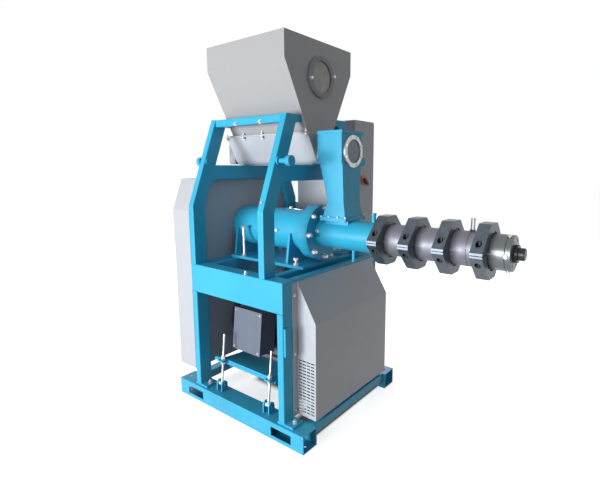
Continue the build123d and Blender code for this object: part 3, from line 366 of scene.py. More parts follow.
@dataclass(frozen=True)
class TurnedFinish(Finish):
    """Turned steel: fine rings across the barrel's axis over a satin metal."""

    colour: Colour
    roughness: float = 0.34
    metallic: float = 0.9
    rings: float = 900.0
    stain: float = 0.25

    def make(self) -> bpy.types.Material:
        """Build the material."""
        graph = self.graph()
        ring = graph.noise(self.rings, 2.0, (1.0, 0.002, 0.002))
        blotch = graph.noise(11.0, 5.0)
        fleck = graph.noise(90.0, 4.0)
        body = graph.mix(ring, shade(self.colour, 0.86), shade(self.colour, 1.16))
        stained = graph.mix(blotch.step(0.45, 0.72) * self.stain, body, shade(self.colour, 0.55))
        rough = self.roughness + ring * 0.1 + blotch.step(0.4, 0.7) * 0.12 + (fleck - 0.5) * 0.12
        return graph.surface(
            base_color=stained,
            metallic=self.metallic,
            roughness=rough,
            normal=graph.bump(ring, 0.3, 0.0004),
        )


@dataclass(frozen=True)
class PaintedPocketShade:
    """Painted shade on round screw pockets in two rows along the barrel, in metres."""

    first: float = 0.832
    pitch: float = 0.202
    offset: float = 0.15
    radius: float = 0.0155
    edge: float = 0.001

    def mask(self, graph: Graph) -> Wire:
        """1 inside the pockets, where the shade is painted, 0 elsewhere."""
        x = (graph.along(0) - self.first).folded(self.pitch / 2)
        y = abs(graph.along(1)) - self.offset
        return 1.0 - (x * x + y * y).step(self.radius**2, (self.radius + self.edge) ** 2)


@dataclass(frozen=True)
class ForgedFinish(Finish):
    """Phosphated or oiled machined steel: dark, mottled, with lighter rubbed flecks, and painted shade in
    screw pockets where they are given.
    """

    colour: Colour
    roughness: float = 0.42
    metallic: float = 0.75
    mottling: float = 0.14
    pocket_shade: PaintedPocketShade | None = None

    def make(self) -> bpy.types.Material:
        """Build the material."""
        graph = self.graph()
        mottle = graph.noise(26.0, 6.0)
        milled = graph.noise(700.0, 2.0, (0.02, 1.0, 0.3))
        grit = graph.noise(420.0, 3.0)
        dark, light = shade(self.colour, 1.0 - self.mottling), shade(self.colour, 1.0 + self.mottling)
        body = graph.mix(mottle.step(0.35, 0.68), dark, light)
        rubbed = graph.mix(milled.step(0.6, 0.8) * 0.3, body, shade(self.colour, 1.6))
        rough = self.roughness + (mottle - 0.5) * 0.2 + (grit - 0.5) * 0.1
        # Painted shade: the screw pockets' walls are darkened nearly to black.
        if self.pocket_shade:
            rubbed = graph.mix(self.pocket_shade.mask(graph), rubbed, shade(self.colour, 0.08))
        fine = graph.bump(grit, 0.2, 0.0003)
        return graph.surface(
            base_color=rubbed,
            metallic=self.metallic,
            roughness=rough,
            normal=graph.bump(milled, 0.15, 0.0003, fine),
        )


@dataclass(frozen=True)
class ZincFinish(Finish):
    """Bright zinc on screws and studs, with a thread cut where a pitch is given, and painted shade in its
    grooves.
    """

    colour: Colour = (0.66, 0.67, 0.68)
    roughness: float = 0.26
    pitch: float = 0.0

    def make(self) -> bpy.types.Material:
        """Build the material."""
        graph = self.graph()
        spangle = graph.noise(140.0, 4.0)
        body = graph.mix(spangle.step(0.3, 0.75), shade(self.colour, 0.72), shade(self.colour, 1.15))
        rough = self.roughness + spangle * 0.2
        normal = graph.bump(spangle, 0.15, 0.0004)
        if self.pitch:
            turns = graph.along(2) * (2.0 * math.pi / self.pitch)
            thread = turns.sine()
            normal = graph.bump(thread, 0.3, self.pitch * 0.3, normal)
            # Painted shade: the thread's grooves are darkened.
            body = graph.mix(thread.step(-1.0, 0.2), shade(self.colour, 0.7), body)
        return graph.surface(base_color=body, metallic=0.9, roughness=rough, normal=normal)


@dataclass(frozen=True)
class PlasticFinish(Finish):
    """Moulded plastic with a fine grained skin."""

    colour: Colour
    roughness: float = 0.45

    def make(self) -> bpy.types.Material:
        """Build the material."""
        graph = self.graph()
        skin = graph.noise(900.0, 2.0)
        cloud = graph.noise(25.0, 3.0)
        body = graph.mix(cloud, shade(self.colour, 0.88), shade(self.colour, 1.12))
        rough = self.roughness + (skin - 0.5) * 0.15
        return graph.surface(base_color=body, roughness=rough, normal=graph.bump(skin, 0.2, 0.0002))


@dataclass(frozen=True)
class WindowFinish(Finish):
    """What the two windows' finishes share: they differ above and below one height."""

    split: float = 2.03
    blend: float = 0.01

    def upper(self, graph: Graph) -> Wire:
        """1 on the hopper's window, 0 on the chute's below it."""
        return graph.along(2).step(self.split - self.blend, self.split + self.blend)


@dataclass(frozen=True)
class RingFinish(WindowFinish):
    """Turned window rings: the chute's polished, the hopper's above it duller, in a dark grey that is painted
    shade.
    """

    polished: Colour = (0.52, 0.54, 0.55)
    painted_shade_grey: Colour = (0.15, 0.155, 0.16)

    def make(self) -> bpy.types.Material:
        """Build the material."""
        graph = self.graph()
        upper = self.upper(graph)
        spangle = graph.noise(60.0, 4.0)
        # Painted shade: the hopper's ring above the split is given a dark grey.
        body = graph.mix(upper, self.polished, self.painted_shade_grey)
        return graph.surface(
            base_color=graph.mix(spangle.step(0.4, 0.75) * 0.3, body, shade(self.polished, 0.5)),
            metallic=0.9 - upper * 0.7,
            roughness=0.24 + spangle * 0.12 + upper * 0.2,
            normal=graph.bump(spangle, 0.1, 0.0003),
        )


@dataclass(frozen=True)
class SightGlassFinish(WindowFinish):
    """Thick sight glass with a film of feed dust on its inner face; the hopper's glass above the chute's has
    a pale grey-brown tint that is a painted reflection.
    """

    tint: Colour = (0.3, 0.42, 0.52)
    painted_reflection_tint: Colour = (0.5, 0.49, 0.48)
    film_shade: float = 0.75

    def make(self) -> bpy.types.Material:
        """Build the material."""
        graph = self.graph()
        cloud = graph.noise(24.0, 5.0)
        upper = self.upper(graph)
        # Painted reflection: the upper glass takes the pale grey-brown tint.
        clean = graph.mix(upper, self.tint, self.painted_reflection_tint)
        dark = self.film_shade
        dusty = graph.mix(upper, shade(self.tint, dark), shade(self.painted_reflection_tint, dark))
        return graph.surface(
            base_color=graph.mix(cloud.step(0.35, 0.75), clean, dusty),
            roughness=0.06 + cloud.step(0.45, 0.8) * 0.25,
            transmission_weight=0.55,
            ior=1.5,
        )


# ---------------------------------------------------------------- geometry helpers


def linked(name: str, data: bpy.types.ID) -> bpy.types.Object:
    """Make an object at the origin and link it to the scene."""
    made = bpy.data.objects.new(name, data)
    bpy.context.scene.collection.objects.link(made)
    return made


def plain_mesh(name: str, points: Sequence[Vector], faces: Sequence[Sequence[int]]) -> bpy.types.Object:
    """Make a mesh object at the origin.

    Args:
        name: The object's name.
        points: Vertices in metres.
        faces: Vertex indices of each face.

    Returns:
        The linked object.
    """
    mesh = bpy.data.meshes.new(name)
    mesh.from_pydata([tuple(point) for point in points], [], faces)
    mesh.update()
    return linked(name, mesh)


class GeometryTree(NodeBuilder):
    """A Geometry Nodes tree with named inputs, built in code."""

    def __init__(self, name: str) -> None:
        """Start a tree that takes and returns geometry.

        Args:
            name: The tree's name.
        """
        super().__init__(bpy.data.node_groups.new(name, "GeometryNodeTree"))
        self.tree.interface.new_socket("Geometry", in_out="INPUT", socket_type="NodeSocketGeometry")
        self.tree.interface.new_socket("Geometry", in_out="OUTPUT", socket_type="NodeSocketGeometry")
        self.start = self.tree.nodes.new("NodeGroupInput")
        self.end = self.tree.nodes.new("NodeGroupOutput")

    def size(self, name: str, kind: str = "NodeSocketFloat") -> Wire:
        """Add a named input and return it."""
        self.tree.interface.new_socket(name, in_out="INPUT", socket_type=kind)
        return Wire(self, self.start.outputs[name])

    def apply(self, host: bpy.types.Object, values: dict[str, Any]) -> bpy.types.Object:
        """Run the tree on host and keep the result as a plain mesh.

        Args:
            host: The object whose mesh feeds the tree; it is removed.
            values: The named inputs.

        Returns:
            The new object.
        """
        modifier = host.modifiers.new("build", "NODES")
        modifier.node_group = self.tree
        for item in self.tree.interface.items_tree:
            if item.in_out == "INPUT" and item.name in values:
                modifier[item.identifier] = values[item.name]
        bpy.context.view_layer.update()
        shaped = host.evaluated_get(bpy.context.evaluated_depsgraph_get())
        mesh = bpy.data.meshes.new_from_object(shaped)
        name = host.name
        bpy.data.objects.remove(host)
        mesh.name = name
        return linked(name, mesh)


class HeadShape(Enum):
    """Kinds of screw head, with their number of sides."""

    HEXAGON = 6
    ROUND = 20


@dataclass(frozen=True)
class Fastener:
    """Sizes of one screw as it shows, in millimetres."""

    across: float
    height: float
    head: HeadShape = HeadShape.HEXAGON
    washer: float = 0.0
    washer_height: float = 2.0
    tip: float = 0.0
    tip_height: float = 0.0

    def sizes(self) -> dict[str, Any]:
        """The inputs of the screw tree, in metres."""
        corner = math.cos(math.pi / 6) if self.head is HeadShape.HEXAGON else 1.0
        return {
            "Head Radius": self.across / 2 / corner * MM,
            "Head Height": self.height * MM,
            "Washer Radius": max(self.washer, self.across * 0.9) / 2 * MM,
            "Washer Height": self.washer_height * MM,
            "Tip Radius": max(self.tip, self.across * 0.3) / 2 * MM,
            "Tip Height": max(self.tip_height, 0.4) * MM,
            "Sides": self.head.value,
        }


class ScrewTree(GeometryTree):
    """The tree that turns points into screw heads with washers and tips."""

    washer_sides = 24
    tip_sides = 16
    shank = 0.8
    chamfer = 0.84

    def __init__(self) -> None:
        """Build the tree."""
        super().__init__("screws")
        head_radius, head_height = self.size("Head Radius"), self.size("Head Height")
        washer_radius, washer_height = self.size("Washer Radius"), self.size("Washer Height")
        tip_radius, tip_height = self.size("Tip Radius"), self.size("Tip Height")
        sides = self.size("Sides", "NodeSocketInt")
        material = self.size("Material", "NodeSocketMaterial")
        lower = head_height * self.shank
        upper = head_height * (1.0 - self.shank)
        narrow = head_radius * self.chamfer
        pieces = (
            self.disc(self.washer_sides, washer_radius, washer_radius, washer_height, 0.0),
            self.disc(sides, head_radius, head_radius, lower, washer_height),
            self.disc(sides, head_radius, narrow, upper, washer_height + lower),
            self.disc(self.tip_sides, tip_radius, tip_radius, tip_height, washer_height + head_height),
        )
        join = self.node("GeometryNodeJoinGeometry")
        for piece in reversed(pieces):
            self.connect(piece, join.inputs[0])
        named = {"data_type": "FLOAT_VECTOR"}
        facing = self.wire("GeometryNodeInputNamedAttribute", named, {"Name": "facing"})
        turn = self.wire("FunctionNodeAlignRotationToVector", {"axis": "Z"}, {"Vector": facing})
        points = self.start.outputs["Geometry"]
        spread = {"Points": points, "Instance": join.outputs[0], "Rotation": turn}
        solid = self.wire("GeometryNodeInstanceOnPoints", None, spread)
        solid = self.wire("GeometryNodeRealizeInstances", None, {0: solid})
        solid = self.wire("GeometryNodeSetMaterial", None, {0: solid, "Material": material})
        self.connect(solid, self.end.inputs[0])

    def disc(self, sides: Any, radius: Any, top: Any, depth: Any, base: Any) -> Wire:
        """Add a short tapered cylinder.

        Args:
            sides: Its number of sides.
            radius: Its lower radius.
            top: Its upper radius.
            depth: Its height.
            base: The height that it stands on.

        Returns:
            The cylinder.
        """
        inputs = {"Vertices": sides, "Radius Top": top, "Radius Bottom": radius, "Depth": depth}
        cone = self.wire("GeometryNodeMeshCone", {"fill_type": "NGON"}, inputs, "Mesh")
        place = self.wire("ShaderNodeCombineXYZ", None, {"Z": base})
        return self.wire("GeometryNodeTransform", None, {"Geometry": cone, "Translation": place})

    @staticmethod
    @cache
    def shared() -> "ScrewTree":
        """The one tree that all screws use."""
        return ScrewTree()


def circle(centre: Point, radius: float, count: int, facing: float, phase: float = 0.0) -> list[Spot]:
    """Spread screws on a circle round a line along X.

    Args:
        centre: The circle's centre in millimetres.
        radius: The circle's radius in millimetres.
        count: How many screws.
        facing: 1 for heads towards +X, -1 for heads towards -X.
        phase: Angle of the first screw in degrees.

    Returns:
        The screws' spots.
    """
    spots = []
    for number in range(count):
        angle = math.radians(phase + 360.0 * number / count)
        place = (centre[0], centre[1] + radius * math.cos(angle), centre[2] + radius * math.sin(angle))
        spots.append((place, (facing, 0, 0)))
    return spots


@dataclass(frozen=True)
class FastenerSet:
    """Screws of one size at many spots, made as one piece.

    A spot is a place in millimetres and the direction in which the head points.
    """

    name: str
    fastener: Fastener
    finish: Finish
    spots: Sequence[Spot]
    slot: str

    def build(self) -> None:
        """Make all the screws as one plain mesh that rides on the machine."""
        host = plain_mesh(self.name, [Vector(place) * MM for place, _ in self.spots], [])
        facing = host.data.attributes.new("facing", "FLOAT_VECTOR", "POINT")
        for number, (_, direction) in enumerate(self.spots):
            facing.data[number].vector = Vector(direction).normalized()
        values = {**self.fastener.sizes(), "Material": self.finish.material}
        made = ScrewTree.shared().apply(host, values)
        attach(made, MACHINE)
        LOG.info("%s: %d screws", self.name, len(self.spots))


# ---------------------------------------------------------------- sub-assemblies


@dataclass(frozen=True)
class Palette:
    """The machine's finishes."""

    blue: Finish = EnamelFinish("sky_blue_enamel", (0.024, 0.335, 0.53), coat=0.06)
    hopper_sheet: Finish = SheetFinish("hopper_sheet", (0.315, 0.32, 0.33))
    trough_sheet: Finish = SheetFinish("trough_sheet", (0.46, 0.49, 0.53), 0.2, 0.34)
    guard_paint: Finish = SheetFinish("guard_paint", (0.37, 0.385, 0.42), 0.0, 0.45)
    cover_paint: Finish = SheetFinish("cover_paint", (0.405, 0.43, 0.47), 0.0, 0.42, contrast=0.04)
    cabinet_paint: Finish = SheetFinish("cabinet_paint", (0.42, 0.43, 0.46), 0.0, 0.5, contrast=0.04)
    motor_enamel: Finish = EnamelFinish("motor_enamel", (0.13, 0.13, 0.17), 0.5, coat=0.0)
    box_enamel: Finish = EnamelFinish("terminal_box_enamel", (0.125, 0.15, 0.2), 0.45, grime=0.25, coat=0.0)
    cast_grey: Finish = ForgedFinish("cast_grey", (0.28, 0.28, 0.3), 0.5, 0.3)
    # The clamps' steel carries painted shade in its screw pockets.
    clamp_steel: Finish = ForgedFinish("clamp_steel", (0.1, 0.12, 0.145), 0.38, pocket_shade=PaintedPocketShade())
    die_steel: Finish = TurnedFinish("die_steel", (0.15, 0.165, 0.175), 0.26)
    chamber_steel: Finish = TurnedFinish("chamber_steel", (0.19, 0.195, 0.235), 0.44, 0.55)
    zinc: Finish = ZincFinish("zinc_plate")
    threaded_zinc: Finish = ZincFinish("threaded_zinc", pitch=0.003)
    screw_black: Finish = ForgedFinish("blackened_screws", (0.03, 0.032, 0.035), 0.35)
    # Matt near-black screw heads: partly the screws' own black, partly painted shade standing in for the
    # shade in their pockets.
    socket_black_and_shade: Finish = PlasticFinish("socket_black_and_shade", (0.012, 0.012, 0.014), 0.85)
    glass: Finish = SightGlassFinish("sight_glass")
    window_steel: Finish = RingFinish("window_ring_steel")
    switch_orange: Finish = PlasticFinish("switch_orange", (0.62, 0.14, 0.06), 0.35)
    switch_black: Finish = PlasticFinish("switch_black", (0.015, 0.015, 0.016))


@dataclass
class SubAssembly:
    """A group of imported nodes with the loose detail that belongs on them."""

    palette: Palette
    nodes: dict[str, bpy.types.Object]

    def paint(self, finish: Finish, *names: str) -> None:
        """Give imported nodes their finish.

        Args:
            finish: The finish.
            *names: The nodes.
        """
        for name in names:
            mesh = self.nodes[name].data
            mesh.materials.clear()
            mesh.materials.append(finish.material)
            LOG.info("%s: %s", name, finish.name)

    def fasten(
        self,
        name: str,
        fastener: Fastener,
        spots: Sequence[Spot],
        finish: Finish | None = None,
        slot: str = "bright_steel",
    ) -> None:
        """Put like screws on the machine as one piece.

        Args:
            name: The piece's name.
            fastener: The screw's sizes.
            spots: Places in millimetres and the directions of the heads.
            finish: The screws' finish; zinc where none is given.
            slot: Not used.
        """
        FastenerSet(name, fastener, finish or self.palette.zinc, spots, slot).build()

    def build(self) -> None:
        """Make this sub-assembly's detail pieces."""

    def dress(self) -> None:
        """Give this sub-assembly its finishes."""


@dataclass
class SkidFrame(SubAssembly):
    """The skid, the posts, the deck and the arches."""

    foot_bolt: Fastener = Fastener(24, 13, washer=34, washer_height=4, tip=16, tip_height=12)
    foot_bolt_x: tuple[float, ...] = (-338.0, 486.0)
    foot_bolt_y: float = 490.0
    foot_top: float = 130.0
    deck_bolt: Fastener = Fastener(20, 12, washer=26, washer_height=3, tip=12, tip_height=8)
    deck_bolt_x: float = 110.0
    deck_bolt_y: float = 520.0
    deck_top: float = 1024.0
    arch_bolt: Fastener = Fastener(16, 7, HeadShape.ROUND, washer_height=1)
    arch_bolt_x: float = 270.0
    arch_bolt_z: float = 1488.0
    arch_face: float = 540.0
    arch_knee: float = 1436.0
    arch_lean: float = 0.375
    beam_bolt: Fastener = Fastener(18, 11, washer=28, washer_height=3)
    beam_bolt_x: tuple[float, ...] = (-169.0, 66.0)
    beam_face: float = 317.25
    beam_bolt_z: float = 1990.0

    def build(self) -> None:
        """Make the frame's bolts."""
        deck = [((self.deck_bolt_x, side * self.deck_bolt_y, self.deck_top), UP) for side in SIDES]
        self.fasten("deck_bolts", self.deck_bolt, deck)
        face = self.arch_face - (self.arch_bolt_z - self.arch_knee) * self.arch_lean
        arch = [
            ((self.arch_bolt_x, side * face, self.arch_bolt_z), (0, side, self.arch_lean))
            for side in SIDES
        ]
        self.fasten("arch_bolts", self.arch_bolt, arch)
        feet = [((x, side * self.foot_bolt_y, self.foot_top), UP) for side in SIDES for x in self.foot_bolt_x]
        self.fasten("foot_bolts", self.foot_bolt, feet)
        beam = [
            ((x, side * self.beam_face, self.beam_bolt_z), (0, side, 0))
            for side in SIDES
            for x in self.beam_bolt_x
        ]
        self.fasten("top_beam_bolts", self.beam_bolt, beam)

    def dress(self) -> None:
        """Paint the frame."""
        blue = self.palette.blue
        self.paint(blue, "skid_rails", "base_cross_beams", "frame_plates", "posts", "mid_beams", "deck_beams")
        self.paint(blue, "left_arch", "right_arch", "top_beams", "lifting_trunnions")


@dataclass
class FeedPath(SubAssembly):
    """Hopper, feeder trough, chute and their sight windows."""

    flange_bolt: Fastener = Fastener(17, 9, washer=24, washer_height=2.5, tip=10, tip_height=7)
    flange_nut: Fastener = Fastener(17, 12, washer=24, washer_height=2.5, tip=10, tip_height=9)
    flange_bolt_x: tuple[float, ...] = (-462.0, -278.0, -90.0, 108.0, 308.0)
    flange_bolt_y: float = 150.5
    flange_top: float = 1928.0
    flange_bottom: float = 1916.0
    foot_bolt: Fastener = Fastener(11, 5, washer=15, washer_height=1.5)
    foot_bolt_x: tuple[float, ...] = (404.0, 465.0, 533.0, 594.0)
    foot_bolt_y: float = 111.0
    foot_top: float = 1378.0
    foot_bottom: float = 1354.0
    ring_screw: Fastener = Fastener(11, 6, washer=16, washer_height=1.5)
    ring_screw_count: int = 8
    ring_circle: float = 92.0
    ring_phase: float = 22.5
    chute_window: Point = (584.0, 0.0, 1797.3)
    latch_screw: Fastener = Fastener(17, 12, washer=22, washer_height=3)
    latch_count: int = 2
    latch_circle: float = 124.0
    latch_phase: float = 10.0
    hopper_window: Point = (331.0, 0.0, 2282.0)

    def build(self) -> None:
        """Make the bolts of the flanges and the windows' screws."""
        flange = [(x, side * self.flange_bolt_y) for side in SIDES for x in self.flange_bolt_x]
        upper = [((x, y, self.flange_top), UP) for x, y in flange]
        lower = [((x, y, self.flange_bottom), DOWN) for x, y in flange]
        self.fasten("hopper_flange_bolts", self.flange_bolt, upper)
        self.fasten("hopper_flange_nuts", self.flange_nut, lower)
        foot = [(x, side * self.foot_bolt_y) for x in self.foot_bolt_x for side in SIDES]
        heads = [((x, y, self.foot_top), UP) for x, y in foot]
        nuts = [((x, y, self.foot_bottom), DOWN) for x, y in foot]
        self.fasten("chute_foot_bolts", self.foot_bolt, heads)
        self.fasten("chute_foot_nuts", self.foot_bolt, nuts, self.palette.blue, "blue_paint")
        ring = circle(self.chute_window, self.ring_circle, self.ring_screw_count, 1.0, self.ring_phase)
        self.fasten("window_screws", self.ring_screw, ring)
        latches = circle(self.hopper_window, self.latch_circle, self.latch_count, 1.0, self.latch_phase)
        self.fasten("hopper_window_latches", self.latch_screw, latches)

    def dress(self) -> None:
        """Finish the feed path."""
        self.paint(self.palette.hopper_sheet, "hopper", "hopper_ends")
        self.paint(self.palette.trough_sheet, "feeder_trough", "feeder_tube")
        self.paint(self.palette.blue, "chute")
        self.paint(self.palette.window_steel, "sight_windows")
        self.paint(self.palette.glass, "sight_glasses")
        self.paint(self.palette.cast_grey, "feeder_gearmotor")


@dataclass
class Extruder(SubAssembly):
    """Bearing housing, feed tube, clamped barrel and die end."""

    axis_height: float = 1254.0
    flange_bolt: Fastener = Fastener(30, 19, washer=40, washer_height=4, tip=20, tip_height=8)
    flange_nut: Fastener = Fastener(24, 14, washer=30, washer_height=3, tip=16, tip_height=5)
    flange_bolt_count: int = 8
    flange_circle: float = 169.0
    flange_front: float = 340.0
    flange_back: float = 255.0
    clamp_screw: Fastener = Fastener(24, 15, HeadShape.ROUND, washer_height=0.4)
    clamp_x: tuple[float, ...] = (832.0, 1034.0, 1236.0, 1438.0)
    clamp_screw_y: float = 150.0
    clamp_screw_seat: float = 26.0
    die_screw: Fastener = Fastener(22, 7, HeadShape.ROUND, washer_height=0.5)
    die_screw_x: float = 1557.0
    die_screw_angles: tuple[float, ...] = (110.0, 182.0, 254.0, 326.0, 398.0)
    die_radius: float = 96.5
    plug: Fastener = Fastener(24, 10, washer=28, washer_height=3)
    plug_spots: tuple[Point, ...] = ((41.0, 90.0, 147.5), (36.0, 178.0, 147.5), (360.0, 168.0, 99.0))

    def on_skin(self, along: float, angle: float, radius: float) -> Spot:
        """Find a spot on a drum round the barrel's axis.

        Args:
            along: The place along X in millimetres.
            angle: The angle round the axis in degrees, from +Y towards +Z.
            radius: The drum's radius in millimetres.

        Returns:
            The spot, facing outward.
        """
        turn = math.radians(angle)
        outward = (0.0, math.cos(turn), math.sin(turn))
        return (along, outward[1] * radius, self.axis_height + outward[2] * radius), outward

    def build(self) -> None:
        """Make the extruder's screws and plugs."""
        radius, count = self.flange_circle, self.flange_bolt_count
        front = circle((self.flange_front, 0.0, self.axis_height), radius, count, 1.0)
        back = circle((self.flange_back, 0.0, self.axis_height), radius, count, -1.0)
        self.fasten("housing_flange_bolts", self.flange_bolt, front)
        self.fasten("housing_flange_nuts", self.flange_nut, back, self.palette.blue, "blue_paint")
        clamps = [
            ((middle, side * self.clamp_screw_y, self.axis_height + way * self.clamp_screw_seat), (0, 0, way))
            for middle in self.clamp_x
            for side in SIDES
            for way in SIDES
        ]
        # The clamp screws' near-black is partly their own colour and partly painted shade for their pockets.
        self.fasten("clamp_screws", self.clamp_screw, clamps, self.palette.socket_black_and_shade, "dark_steel")
        die = [self.on_skin(self.die_screw_x, angle, self.die_radius) for angle in self.die_screw_angles]
        self.fasten("die_screws", self.die_screw, die)
        self.fasten("housing_plugs", self.plug, [self.on_skin(*spot) for spot in self.plug_spots])

    def dress(self) -> None:
        """Finish the extruder."""
        self.paint(self.palette.blue, "support_plate", "saddles", "bearing_housing", "feed_tube")
        self.paint(self.palette.zinc, "tie_bolts")
        self.paint(self.palette.clamp_steel, "barrel_probes", "clamps")
        self.paint(self.palette.chamber_steel, "barrel_chamber_1", "barrel_chamber_2", "barrel_chamber_3")
        self.paint(self.palette.die_steel, "die_head", "die_ring")
        self.paint(self.palette.screw_black, "regulating_plug")


@dataclass
class Drive(SubAssembly):
    """Motor on its hinged plate, tension studs, belt guard and motor cover."""

    lid_screw: Fastener = Fastener(12, 5, HeadShape.ROUND, washer=16, washer_height=1)
    lid_screw_x: tuple[float, ...] = (-197.0, 43.0)
    lid_screw_z: tuple[float, ...] = (327.0, 596.0)
    lid_face: float = 385.0
    hinge: tuple[float, float] = (452.0, 214.7)
    tilt: float = 6.0
    cover_screw: Fastener = Fastener(13, 7, washer=20, washer_height=2)
    cover_screw_y: tuple[float, ...] = (-436.0, 468.0)
    cover_screw_z: tuple[float, ...] = (175.0, 550.0, 926.0)
    cover_face: float = 446.0

    def on_lid(self, x: float, z: float) -> Spot:
        """A spot on the terminal box's lid, which leans with the motor about its plate's rear hinge."""
        pivot = Vector((0.0, *self.hinge))
        lean = Matrix.Rotation(math.radians(-self.tilt), 3, "X")
        return lean @ (Vector((x, -self.lid_face, z)) - pivot) + pivot, lean @ Vector((0.0, -1.0, 0.0))

    def build(self) -> None:
        """Make the lid's and the cover's screws."""
        lid = [self.on_lid(x, z) for x in self.lid_screw_x for z in self.lid_screw_z]
        self.fasten("terminal_lid_screws", self.lid_screw, lid)
        cover = [((self.cover_face, y, z), (1, 0, 0)) for y in self.cover_screw_y for z in self.cover_screw_z]
        self.fasten("cover_screws", self.cover_screw, cover)

    def dress(self) -> None:
        """Finish the drive."""
        self.paint(self.palette.motor_enamel, "motor_body")
        self.paint(self.palette.box_enamel, "terminal_box")
        self.paint(self.palette.blue, "motor_plate", "pivot_bars", "rail_brackets")
        self.paint(self.palette.threaded_zinc, "tension_studs")
        self.paint(self.palette.zinc, "tension_nuts")
        self.paint(self.palette.guard_paint, "belt_guard")
        self.paint(self.palette.cover_paint, "motor_cover")


@dataclass
class Electrics(SubAssembly):
    """The switch cabinet and its main switch."""

    def dress(self) -> None:
        """Finish the cabinet."""
        self.paint(self.palette.cabinet_paint, "cabinet", "cabinet_door", "cabinet_rails")
        self.paint(self.palette.switch_orange, "switch_plate")
        self.paint(self.palette.switch_black, "switch_handle")


# ---------------------------------------------------------------- studio


@dataclass(frozen=True)
class Lamp:
    """A wide round lamp that looks at the machine's middle."""

    name: str
    energy: float
    place: Point
    size: float = 2.2
    aim: Point = (0.3, 0.0, 1.25)

    def build(self) -> None:
        """Stand the lamp in the scene."""
        data = bpy.data.lights.new(self.name, "AREA")
        data.shape = "DISK"
        data.size = self.size
        data.energy = self.energy
        holder = linked(self.name, data)
        holder.location = self.place
        towards = Vector(self.aim) - Vector(self.place)
        holder.rotation_euler = towards.to_track_quat("-Z", "Y").to_euler()


@dataclass(frozen=True)
class FloorPatch:
    """A rectangle of floor with soft edges, in metres, that gets painted shadow."""

    left: float
    right: float
    front: float
    back: float
    soft: float = 0.08
    sharp: float = 0.02

    def mask(self, graph: Graph) -> Wire:
        """1 on the patch, 0 elsewhere; its right edge is the sharpest."""
        x, y = graph.along(0), graph.along(1)
        past_left = x.step(self.left, self.left + self.soft)
        past_right = x.step(self.right - self.sharp, self.right)
        past_front = y.step(self.front, self.front + self.soft)
        past_back = y.step(self.back - self.soft, self.back)
        return past_left * (1.0 - past_right) * past_front * (1.0 - past_back)


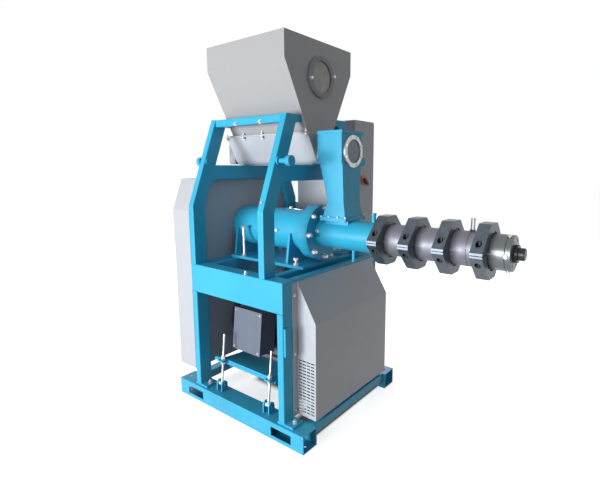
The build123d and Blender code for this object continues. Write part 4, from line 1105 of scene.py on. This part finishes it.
@dataclass(frozen=True)
class Studio:
    """Pale floor and backdrop, soft lamps and the camera of the photograph."""

    image_size: tuple[float, float] = (600.0, 480.0)
    principal: tuple[float, float] = (320.5, 231.2)
    focal_pixels: float = 425.8
    sensor: float = 36.0
    place: Point = (2.0996, -2.3203, 1.696)
    azimuth: float = 37.62
    pitch: float = -8.51
    roll: float = -0.10
    view_limit: float = 200.0
    ambient: float = 0.34
    lamps: tuple[Lamp, ...] = (
        Lamp("key_lamp", 450.0, (-1.6, -6.6, 1.15)),
        Lamp("fill_lamp", 170.0, (0.25, -6.4, 1.7)),
        Lamp("back_lamp", 320.0, (-4.0, 5.6, 2.4)),
    )
    floor_reach: float = 40.0
    floor_drop: float = 0.0006
    floor_glow: float = 0.72
    floor_tones: tuple[Colour, Colour] = ((0.78, 0.78, 0.78), (0.82, 0.82, 0.82))
    # Painted shadow: darker floor tones on the patches under the motor and its cover.
    painted_shadow_tones: tuple[Colour, Colour] = ((0.3, 0.3, 0.3), (0.34, 0.33, 0.32))
    painted_shadow_patches: tuple[FloorPatch, ...] = (
        FloorPatch(0.27, 0.56, -0.52, 0.52),
        FloorPatch(-0.34, 0.56, -0.12, 0.52),
    )

    def camera(self) -> None:
        """Put the camera where the photograph was taken."""
        width, height = self.image_size
        data = bpy.data.cameras.new("photo_camera")
        data.sensor_width = self.sensor
        data.lens = self.sensor * self.focal_pixels / width
        data.shift_x = (width / 2 - self.principal[0]) / width
        data.shift_y = (self.principal[1] - height / 2) / width
        data.clip_end = self.view_limit
        turn, tilt = math.radians(self.azimuth), math.radians(self.pitch)
        ahead = Vector((-math.sin(turn), math.cos(turn), 0.0)) * math.cos(tilt)
        forward = ahead + Vector((0.0, 0.0, math.sin(tilt)))
        right = Vector((math.cos(turn), math.sin(turn), 0.0))
        up = right.cross(forward)
        spin = math.radians(self.roll)
        right, up = (
            right * math.cos(spin) + up * math.sin(spin),
            up * math.cos(spin) - right * math.sin(spin),
        )
        holder = linked("photo_camera", data)
        axes = Matrix((right, up, -forward)).transposed().to_4x4()
        holder.matrix_world = Matrix.Translation(Vector(self.place)) @ axes
        bpy.context.scene.camera = holder

    def painted_shadow_mask(self, graph: Graph) -> Wire:
        """1 on the floor's painted shadow under the motor and its cover, 0 elsewhere."""
        return reduce(Wire.at_least, [patch.mask(graph) for patch in self.painted_shadow_patches])

    def floor(self) -> None:
        """Lay the pale floor, which shows white to the camera but keeps a soft shadow; under the motor and
        its cover it has painted shadow, dark and without glow.
        """
        wide = self.floor_reach
        square = ((-wide, -wide), (wide, -wide), (wide, wide), (-wide, wide))
        corners = [Vector((x, y, -self.floor_drop)) for x, y in square]
        ground = plain_mesh("studio_floor", corners, [(0, 1, 2, 3)])
        graph = Graph(bpy.data.materials.new("studio_floor"))
        seen = graph.seen() * (1.0 - self.painted_shadow_mask(graph))
        grain = graph.noise(3.0, 3.0)
        matt = graph.node("ShaderNodeBsdfDiffuse", None, {"Color": graph.mix(grain, *self.floor_tones)})
        glow = graph.node("ShaderNodeEmission", None, {"Color": (1, 1, 1, 1), "Strength": self.floor_glow})
        both = graph.node("ShaderNodeAddShader", None, {0: matt.outputs[0], 1: glow.outputs[0]})
        # Painted shadow: the camera sees these patches dark and without the glow.
        shadow_matt = graph.node("ShaderNodeBsdfDiffuse", None, {"Color": graph.mix(grain, *self.painted_shadow_tones)})
        graph.close(graph.node("ShaderNodeMixShader", None, {0: seen, 1: shadow_matt.outputs[0], 2: both.outputs[0]}))
        ground.data.materials.append(graph.owner)

    def world(self) -> None:
        """Light evenly from all round, and show white behind the object."""
        world = bpy.data.worlds.new("studio_world")
        bpy.context.scene.world = world
        graph = Graph(world)
        level = graph.wire("ShaderNodeMapRange", None, {0: graph.seen(), 3: self.ambient, 4: 1.0})
        back = graph.node("ShaderNodeBackground", None, {"Color": (1, 1, 1, 1), "Strength": level})
        graph.close(back, "ShaderNodeOutputWorld")

    def build(self) -> None:
        """Set up the studio."""
        self.camera()
        self.floor()
        self.world()
        for lamp in self.lamps:
            lamp.build()
        bpy.context.scene.view_settings.view_transform = "Standard"
        LOG.info("studio ready")


def main() -> None:
    """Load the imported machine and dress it."""
    logging.basicConfig(level=logging.INFO, format="%(name)s %(message)s")
    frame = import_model()
    palette = Palette()
    Studio().build()
    for kind in (SkidFrame, FeedPath, Extruder, Drive, Electrics):
        group = kind(palette, frame["nodes"])
        group.build()
        group.dress()
        LOG.info("%s done", kind.__name__)


if __name__ == "__main__":
    main()
